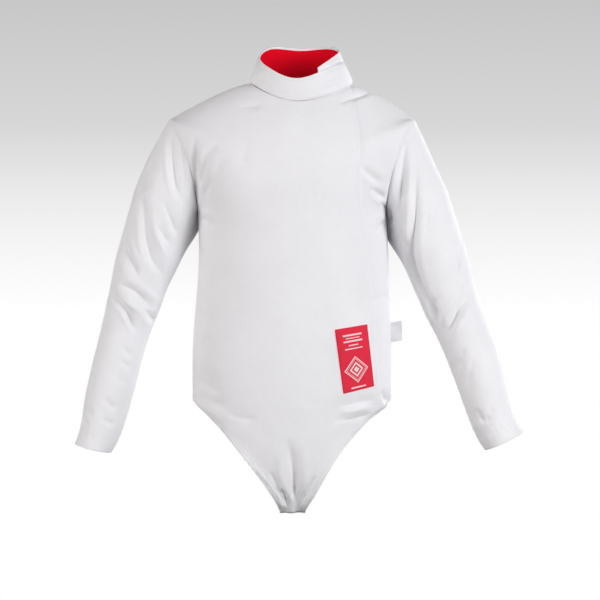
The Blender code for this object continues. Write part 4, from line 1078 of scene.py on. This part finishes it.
def make_front():
    """The front, which rises onto the under-front, and the under-front itself."""
    down = spread([0.0, SHOULDER_TIP, ARMPIT, HIP, UNDER_END, TAIL_TIP - LAST_ROWS, TAIL_TIP], FRONT_ROWS)
    shares, under_x = front_columns(down)
    places = np.broadcast_to(down[:, None], shares.shape)
    base = eased(panel_point(FRONT, True, places, shares))
    normals = unit(calmed(grid_normals(base), 2))
    sewn = from_edges(base, ["first", "last"])
    tail = smooth((places - HIP) / TAIL_BLEND)
    top = from_edges(base, ["top"])
    seam_far = np.minimum(np.where(tail > 0.5, 1.0, sewn), top)
    points = creased(base, normals, seam_far)
    normals = grid_normals(points)
    along = along_edge(points, 0)
    seams = (seam_line(sewn, *SEAM_DIP) + puckers(sewn, along, *SIDE_PUCKERS)) * (1 - tail)
    leg = hem(sewn, LEG_HEM, *LEG_FOLD) + puckers(np.abs(sewn - LEG_HEM), along, *LEG_PUCKERS)
    gather = GATHER_DEEP * np.cos(points[..., 0] / GATHER_STEP)
    gather = gather * smooth((places - GATHER_FROM) / GATHER_GROW)
    relief = seams + leg * tail + gather + seam_line(top, *NECK_DIP)
    points = points + relief[..., None] * normals
    normals = grid_normals(points)

    edge = sum(FRONT_COLUMNS[:2]) + 1
    front, up, tail = points[:, :edge], normals[:, :edge], tail[:, :edge]
    rise = smooth((front[..., 0] - under_x[:, None] + LAP_RISE) / LAP_RISE * LAP_STEEP)
    settle = 1 - smooth((down - UNDER_END - LAP_SETTLE[0]) / LAP_SETTLE[1])
    flap_far = from_edges(front, ["last"])
    thinner = FLAP_THIN * (1 - smooth(flap_far / FLAP_PRESS)) * (1 - tail)
    lift = LAP * rise * settle[:, None] - thinner
    flap = hem(flap_far, FLAP_HEM, *FLAP_FOLD) * (1 - tail)
    front = set_back(front + (lift + flap)[..., None] * up, up, ["first", "top"], SEAM_BACK)
    far = np.minimum(seam_far[:, :edge], np.where(tail > 0.5, 1.0, flap_far + FLAP_CALM))
    piece, face = finish_shell("front_cloth", front, far, wall=WALL - thinner[..., None], seed=1.0)
    dress(piece, WHITE_CLOTH)

    rows = down <= UNDER_END + 1e-9
    under = set_back(points, normals, ["last", "top"], SEAM_BACK)[rows][:, FRONT_COLUMNS[0]:]
    under_piece, under_face = finish_shell(
        "under_front_cloth", under, np.zeros(under.shape[:2]), seed=2.0)
    dress(under_piece, WHITE_CLOTH)
    return piece, face, under_piece, under_face


def make_back():
    """The back, from the neckline to its hem."""
    down = spread([0.0, SHOULDER_TIP, ARMPIT, HIP - LAST_ROWS, HIP], BACK_ROWS)
    shares = 1 - 2 * crowded(BACK_COLUMNS)
    places, across = np.meshgrid(down, shares, indexing="ij")
    base = eased(panel_point(BACK, False, places, across))
    normals = grid_normals(base)
    sewn, top = from_edges(base, ["first", "last"]), from_edges(base, ["top"])
    points = creased(base, normals, np.minimum(sewn, top))
    normals = grid_normals(points)
    along = along_edge(points, 0)
    low = from_edges(points, ["bottom"])
    relief = seam_line(sewn, *SEAM_DIP) + seam_line(top, *SEAM_DIP) + puckers(sewn, along, *SIDE_PUCKERS)
    relief = relief + hem(low, BACK_HEM, *BACK_FOLD)
    relief = relief + puckers(np.abs(low - BACK_HEM), along_edge(points, 1), *BACK_HEM_PUCKERS)
    points = points + relief[..., None] * normals
    points = set_back(points, normals, ["first", "last", "top"], SEAM_BACK)
    piece, face = finish_shell("back_cloth", points, np.minimum(sewn, top), seed=3.0, wavy=0.0016)
    return dress(piece, WHITE_CLOTH), face


def make_sleeve(name, rows, side, seed):
    """A sleeve with its underarm seam and turned cuff."""
    last = len(rows["bow"]) - 1
    place = spread([0, 0.4, last - 2.0, last - 0.1, last], SLEEVE_ROWS)
    turn = -side * np.arange(SLEEVE_COLUMNS) * 360.0 / SLEEVE_COLUMNS
    place, turn = np.meshgrid(place, turn, indexing="ij")
    base = sleeve_ring(rows, side, place, turn)
    from_outside = np.abs(turn) if side == RIGHT else 360 - np.abs(turn)
    web = WEB_OUT * np.exp(-((from_outside - WEB_TURN) / WEB_WIDTH) ** 2)
    base[..., 0] -= side * web * smooth(place / WEB_GROW) * smooth((WEB_END - place) / WEB_FADE)
    normals = grid_normals(base, ring=True)
    head, low = from_edges(base, ["top"]), from_edges(base, ["bottom"])
    points = creased(base, normals, head)
    normals = grid_normals(points, ring=True)
    step = np.linalg.norm(np.gradient(points, axis=1), axis=-1)
    underarm = np.abs(np.abs(turn) - 180.0) / (360.0 / SLEEVE_COLUMNS) * step
    along, around = along_edge(points, 0), np.cumsum(step, axis=1)
    relief = seam_line(head, *SEAM_DIP) + puckers(head, around, *SLEEVE_HEAD_PUCKERS)
    relief = relief + seam_line(underarm, *UNDERARM_DIP) + puckers(underarm, along, *UNDERARM_PUCKERS)
    relief = relief + hem(low, CUFF_HEM, *CUFF_FOLD)
    relief = relief + puckers(np.abs(low - CUFF_HEM), around, *CUFF_PUCKERS)
    points = points + relief[..., None] * normals
    line = points[0]
    tangent = np.roll(line, -1, axis=0) - np.roll(line, 1, axis=0)
    inward = unit(np.cross(tangent, normals[0]))
    inward = inward * np.sign(np.sum(inward * (points[1] - line), axis=-1, keepdims=True))
    points[0] = points[0] + inward * SEAM_BACK
    piece, face = finish_shell(name, points, head, ring=True, seed=seed)
    return dress(piece, WHITE_CLOTH), face


def collar_grid():
    """The collar's outer surface as one spiral band, rim first, with its outward
    directions and each row's height from 0 at the neck to 1 at the rim."""
    turn = np.linspace(COLLAR_START, COLLAR_END, COLLAR_COLUMNS + 1)
    lap = smooth((turn - COLLAR_LAP[0]) / (COLLAR_LAP[1] - COLLAR_LAP[0]))
    start = neckline(turn)
    base = start + COLLAR_RAISE * lap[:, None] * [0, 0, 1]
    angle = np.radians(turn)
    widest = np.stack([
        RIM_CENTRE[0] + RIM_HALF[0] * np.sin(angle),
        RIM_CENTRE[1] - RIM_HALF[1] * np.cos(angle),
        spline(SLOPE["turn"], SLOPE["z"], turn % 360.0)], axis=-1)
    reach = (spline(RIM["turn"], RIM["z"], turn) - start[:, 2]) / (widest[:, 2] - start[:, 2])
    rim = start + (widest - start) * reach[:, None]
    up = np.linspace(1, 0, COLLAR_ROWS + 1)[:, None, None]
    points = base * (1 - up) + rim * up
    level = unit(grid_normals(points) * [1, 1, 0])
    return points + (COLLAR_OFFSET * lap)[None, :, None] * level, level, up[..., 0]


def make_collar():
    """The collar and its red lining, which stops short of the turned edge."""
    points, normals, up = collar_grid()
    low = from_edges(points, ["bottom"])
    puff = COLLAR_PUFF * np.sin(np.pi * up ** 0.8) ** 0.8
    ease = COLLAR_EASE * soft_waves(points, 0.040, 7.0) * smooth(low / 0.010)
    relief = puff + ease + puckers(low, along_edge(points, 1), *COLLAR_PUCKERS) + seam_line(low, *COLLAR_DIP)
    seen = smooth(-normals[..., 1] / FOLD_FADE) * smooth(low / 0.0025)
    relief = relief - crease_depth(points, COLLAR_CREASES) * seen
    outer = set_back(points + relief[..., None] * normals, normals, ["bottom"], SEAM_BACK)
    collar = shell("collar_cloth", outer, points - WALL * normals)
    dress(collar, WHITE_CLOTH)

    high = from_edges(points, ["top"])
    sunk = LINING_SINK[0] * smooth(1 - high / LINING_SINK[1])
    start = np.argmax(high[:, 0] > LINING_DROP)
    face = (points - (WALL + LINING_GAP + sunk)[..., None] * normals)[start:-1]
    wall = LINING_WALL + 0.0004 * soft_waves(face, 0.035, 9.0)
    lining = shell("collar_lining_cloth", face, face - wall[..., None] * normals[start:-1])
    dress(lining, RED_LINING)
    return collar, lining, (outer, grid_normals(outer))


def make_strap(tail):
    """The strap between the legs, gathered at its sewn front end."""
    knots = np.concatenate([[0], np.cumsum(np.hypot(np.diff(STRAP["y"]), np.diff(STRAP["z"])))])
    place = np.linspace(0.0, knots[-1], STRAP_ROWS)
    flat = np.zeros((len(place), len(tail), 3))
    flat[..., 0] = np.interp(tail[:, 0], (tail[0, 0], tail[-1, 0]), (-STRAP_HALF, STRAP_HALF))
    flat[..., 1] = spline(knots, STRAP["y"], place)[:, None]
    flat[..., 2] = spline(knots, STRAP["z"], place)[:, None]
    gather = 1 - smooth(place / STRAP_SETTLE)
    points = flat + (tail - flat[0]) * gather[:, None, None]
    points = set_back(points, grid_normals(points), ["top"], SEAM_BACK)
    piece, face = finish_shell("crotch_strap_webbing", points, np.full(points.shape[:2], STRAP_CALM))
    return dress(piece, WEBBING), face


def on_face(face, targets):
    """Points and normals of a fine face that are seen at x and z from the front."""
    points = face[0]
    flat = points[..., [0, 2]]
    slopes = [(grid, np.gradient(grid, axis=0), np.gradient(grid, axis=1)) for grid in face]
    down, across = slopes[0][1:]
    found = []
    for target in targets.reshape(-1, 2):
        away = np.linalg.norm(flat - target, axis=-1)
        place = np.unravel_index(np.argmin(away), away.shape)
        run = np.stack([down[place][[0, 2]], across[place][[0, 2]]], axis=1)
        share = np.linalg.solve(run, target - flat[place])
        found.append([grid[place] + share[0] * low[place] + share[1] * wide[place]
                      for grid, low, wide in slopes])
    found = np.array(found).reshape(*targets.shape[:-1], 2, 3)
    return found[..., 0, :], unit(found[..., 1, :])


def make_label(front_face):
    """The woven patch on the front, with a turned edge that lies down all round."""
    v, u = np.meshgrid(np.linspace(0, 1, LABEL_ROWS), np.linspace(0, 1, LABEL_COLUMNS), indexing="ij")
    u, v = u[..., None], v[..., None]
    top_right, top_left, bottom_right, bottom_left = np.stack([LABEL["x"], LABEL["z"]], axis=-1)
    points, normals = on_face(front_face, (top_right * (1 - u) + top_left * u) * (1 - v)
                              + (bottom_right * (1 - u) + bottom_left * u) * v)
    edge = smooth(from_edges(points, ["top", "bottom", "first", "last"]) / LABEL_TURN)
    high = LABEL_LIFT + LABEL_WALL * (LABEL_EDGE + (1 - LABEL_EDGE) * edge)
    top = points + high[..., None] * normals
    piece = shell("hip_patch", top, points - LABEL_SINK * normals)
    return dress(piece, RED_PATCH), (top, normals)


def make_tape():
    """The folded tape that stands out of the left side seam."""
    leaf = TAPE_DEEP / 2
    turn = np.radians(np.linspace(0, 180, 13))
    out = TAPE_OUT - leaf
    flat = np.linspace(0.0, out, 16)[:-1]
    across = np.concatenate([flat, out + leaf * np.sin(turn), flat[::-1]])
    deep = np.concatenate([np.full(len(flat), -leaf), -leaf * np.cos(turn), np.full(len(flat), leaf)])
    pinch = 1 - 0.55 * smooth(1 - across / 0.006)
    heights = np.linspace(TAPE_TOP, TAPE_BOTTOM, 25)
    seam = spline(SIDE["left_z"][::-1], SIDE["left_x"][::-1], heights)
    outer = np.stack([
        np.stack([x + across, TAPE_Y + deep * pinch + 0.0006 * np.sin(across / 0.005 + z * 160),
                  z + TAPE_TILT * across / TAPE_OUT], axis=-1)
        for x, z in zip(seam, heights)])
    piece = shell("side_tape", outer, outer - TAPE_WALL * grid_normals(outer))
    return dress(piece, WHITE_TAPE)


front, front_face, under, under_face = make_front()
back, back_face = make_back()
right_sleeve, right_face = make_sleeve("right_sleeve_cloth", RIGHT_SLEEVE, RIGHT, 5.0)
left_sleeve, left_face = make_sleeve("left_sleeve_cloth", LEFT_SLEEVE, LEFT, 6.0)
collar, lining, collar_face = make_collar()
strap, strap_face = make_strap(front_face[0][-1, ::3])
patch, patch_face = make_label(front_face)
tape = make_tape()

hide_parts("front_panel")
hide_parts("left_front_panel")
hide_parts("back_panel")
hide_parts("right_sleeve", "right_under_sleeve")
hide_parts("left_sleeve", "left_under_sleeve")
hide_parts("collar")
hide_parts("collar_lining")
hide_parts("crotch_strap")
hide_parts("hip_label")
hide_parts("side_label")


# Sewing

def cuff_line(face, far):
    """A line round a sleeve at a distance from its cuff's edge."""
    return beside_edge([np.concatenate([grid, grid[:, :1]], axis=1) for grid in face], "bottom", far)


front_thread = stitches("front_stitches", [
    beside_edge(front_face, "last", FLAP_STITCH, FLAP_SPAN),
    beside_edge(front_face, "last", LEG_HEM - HEM_STITCH, LEFT_LEG_SPAN),
    beside_edge(front_face, "first", LEG_HEM - HEM_STITCH, RIGHT_LEG_SPAN),
    beside_edge(front_face, "first", SEAM_STITCH, RIGHT_ARM_SPAN),
])
under_thread = stitches("under_front_stitches", [
    beside_edge(under_face, "last", SEAM_STITCH, ARMHOLE_SPAN),
    beside_edge(under_face, "bottom", UNDER_HEM_STITCH),
])
back_thread = stitches("back_stitches", [
    beside_edge(back_face, "bottom", BACK_HEM - HEM_STITCH),
    beside_edge(back_face, "bottom", BACK_HEM - SECOND_HEM_STITCH),
    beside_edge(back_face, "first", SEAM_STITCH, ARMHOLE_SPAN),
    beside_edge(back_face, "last", SEAM_STITCH, ARMHOLE_SPAN),
    beside_edge(back_face, "first", SHOULDER_STITCH, SHOULDER_SPAN),
    beside_edge(back_face, "last", SHOULDER_STITCH, SHOULDER_SPAN),
])
cuff_thread = stitches("cuff_stitches", [
    cuff_line(face, CUFF_HEM - HEM_STITCH) for face in (right_face, left_face)])
collar_thread = stitches("collar_stitches", [
    beside_edge(collar_face, "top", COLLAR_STITCH),
    beside_edge(collar_face, "bottom", SEAM_STITCH, COLLAR_SPAN),
    beside_edge(collar_face, "last", COLLAR_STITCH),
])
patch_thread = stitches("patch_stitches", [
    beside_edge(patch_face, edge, PATCH_STITCH) for edge in ("top", "bottom", "first", "last")])
strap_thread = stitches("strap_stitches", [
    beside_edge(strap_face, edge, SHOULDER_STITCH) for edge in ("first", "last")])
for thread in (front_thread, under_thread, back_thread, cuff_thread, collar_thread, strap_thread):
    dress(thread, WHITE_THREAD)
dress(patch_thread, RED_THREAD)


# Stage

FLOOR_Z = -0.66
STAGE_SIZE = 14.0
BACKDROP_Y = 4.0

# Greys by place: along Y for the floor, and by height for the backdrop and for
# the room, whose heights run from 0 below to 1 above. The backdrop's greys are
# painted shade: its glow darkens towards the top as a lit backdrop does
FLOOR_GREYS = [(-7.0, 1.0), (7.0, 1.0)]
BACKDROP_PAINTED_SHADE = [(-0.35, 1.0), (-0.137, 0.922), (0.038, 0.838), (0.30, 0.68), (0.74, 0.57)]
ROOM_GREYS = [(0.22, 0.00), (0.45, 0.58), (0.60, 0.86), (0.82, 0.02)]
ROOM_TINT = (1.0, 0.99, 1.01)

# Lamps: place, aim, size, energy and colour
LAMPS = {
    "key": ((2.5, -2.2, 0.34), (0.0, 0.0, -0.30), 1.5, 74.0, (0.970, 0.98, 1.0)),
    "fill": ((-2.8, -2.0, 0.20), (0.0, 0.0, -0.32), 2.0, 54.0, (1.0, 0.955, 0.94)),
    "top": ((0.2, 0.1, 2.4), (0.0, 0.0, -0.20), 1.6, 3.0, (1.0, 1.0, 1.0)),
    "back": ((1.75, 2.4, 0.50), (0.0, 0.0, -0.25), 1.2, 31.0, (1.0, 1.0, 1.0)),
}

CAMERA_PLACE = (0.012, -3.0, -0.312)
LENS, SENSOR = 120.0, 36.0


def grey_ramp(tree, place, stops, tint=(1.0, 1.0, 1.0)):
    """A ramp of greys along a place that runs from the first stop to the last."""
    ramp = node(tree, "ValToRGB", Fac=place)
    for i, (at, grey) in enumerate(stops):
        stop = ramp.color_ramp.elements[i] if i < 2 else ramp.color_ramp.elements.new(1.0)
        stop.position = at
        stop.color = (*[grey * share for share in tint], 1.0)
    return ramp.outputs[0]


def stage_material(name, greys, axis):
    """A pale surface that gives its own light, in greys along one axis. On the backdrop these greys are
    painted shade that darkens it towards the top.
    """
    made, tree, shader = new_material(name)
    place = node(tree, "SeparateXYZ", Vector=tree.nodes.new("ShaderNodeTexCoord").outputs["Object"])
    low, high = greys[0][0], greys[-1][0]
    share = node(tree, "MapRange", Value=place.outputs[axis], From_Min=low, From_Max=high)
    stops = [((at - low) / (high - low), grey) for at, grey in greys]
    tree.links.new(grey_ramp(tree, share.outputs[0], stops), shader.inputs["Emission Color"])
    shader.inputs["Base Color"].default_value = (0.0, 0.0, 0.0, 1.0)
    shader.inputs["Specular IOR Level"].default_value = 0.0
    shader.inputs["Emission Strength"].default_value = 1.0
    return made


def stage_plane(name, place, turn, material):
    """A large plane that the camera sees and that sheds no light on the jacket."""
    bpy.ops.object.select_all(action="DESELECT")
    bpy.ops.mesh.primitive_plane_add(size=STAGE_SIZE, location=place, rotation=turn)
    made = bpy.context.object
    made.name = name
    bpy.ops.object.transform_apply(location=True, rotation=True, scale=True)
    made.data.materials.append(material)
    made.visible_diffuse = False
    return made


def area_light(name, place, target, size, energy, colour):
    """A large soft lamp that points at a place."""
    lamp = bpy.data.lights.new(name, "AREA")
    lamp.size, lamp.energy, lamp.color = size, energy, colour
    made = bpy.data.objects.new(name, lamp)
    bpy.context.scene.collection.objects.link(made)
    made.location = place
    made.rotation_euler = (Vector(target) - Vector(place)).to_track_quat("-Z", "Y").to_euler()


stage_plane("floor", (0, 0, FLOOR_Z), (0, 0, 0), stage_material("pale_floor", FLOOR_GREYS, 1))
# The backdrop glows, with painted shade that makes it darker towards the top
stage_plane("backdrop", (0, BACKDROP_Y, FLOOR_Z + STAGE_SIZE / 2), (np.pi / 2, 0, 0),
                stage_material("backdrop_painted_shade", BACKDROP_PAINTED_SHADE, 2))
for lamp_name, lamp_values in LAMPS.items():
    area_light(lamp_name, *lamp_values)

world = bpy.data.worlds.new("soft_room")
bpy.context.scene.world = world
world.use_nodes = True
room = world.node_tree
ways = node(room, "SeparateXYZ", Vector=room.nodes.new("ShaderNodeTexCoord").outputs["Generated"])
height = node(room, "MapRange", Value=ways.outputs[2], From_Min=-1.0, From_Max=1.0)
background = room.nodes["Background"]
room.links.new(grey_ramp(room, height.outputs[0], ROOM_GREYS, ROOM_TINT), background.inputs[0])
background.inputs[1].default_value = 1.0

camera_data = bpy.data.cameras.new("camera")
camera_data.lens, camera_data.sensor_width = LENS, SENSOR
camera = bpy.data.objects.new("camera", camera_data)
bpy.context.scene.collection.objects.link(camera)
camera.location = CAMERA_PLACE
camera.rotation_euler = (np.pi / 2, 0.0, 0.0)
bpy.context.scene.camera = camera
bpy.context.scene.view_settings.view_transform = "Standard"
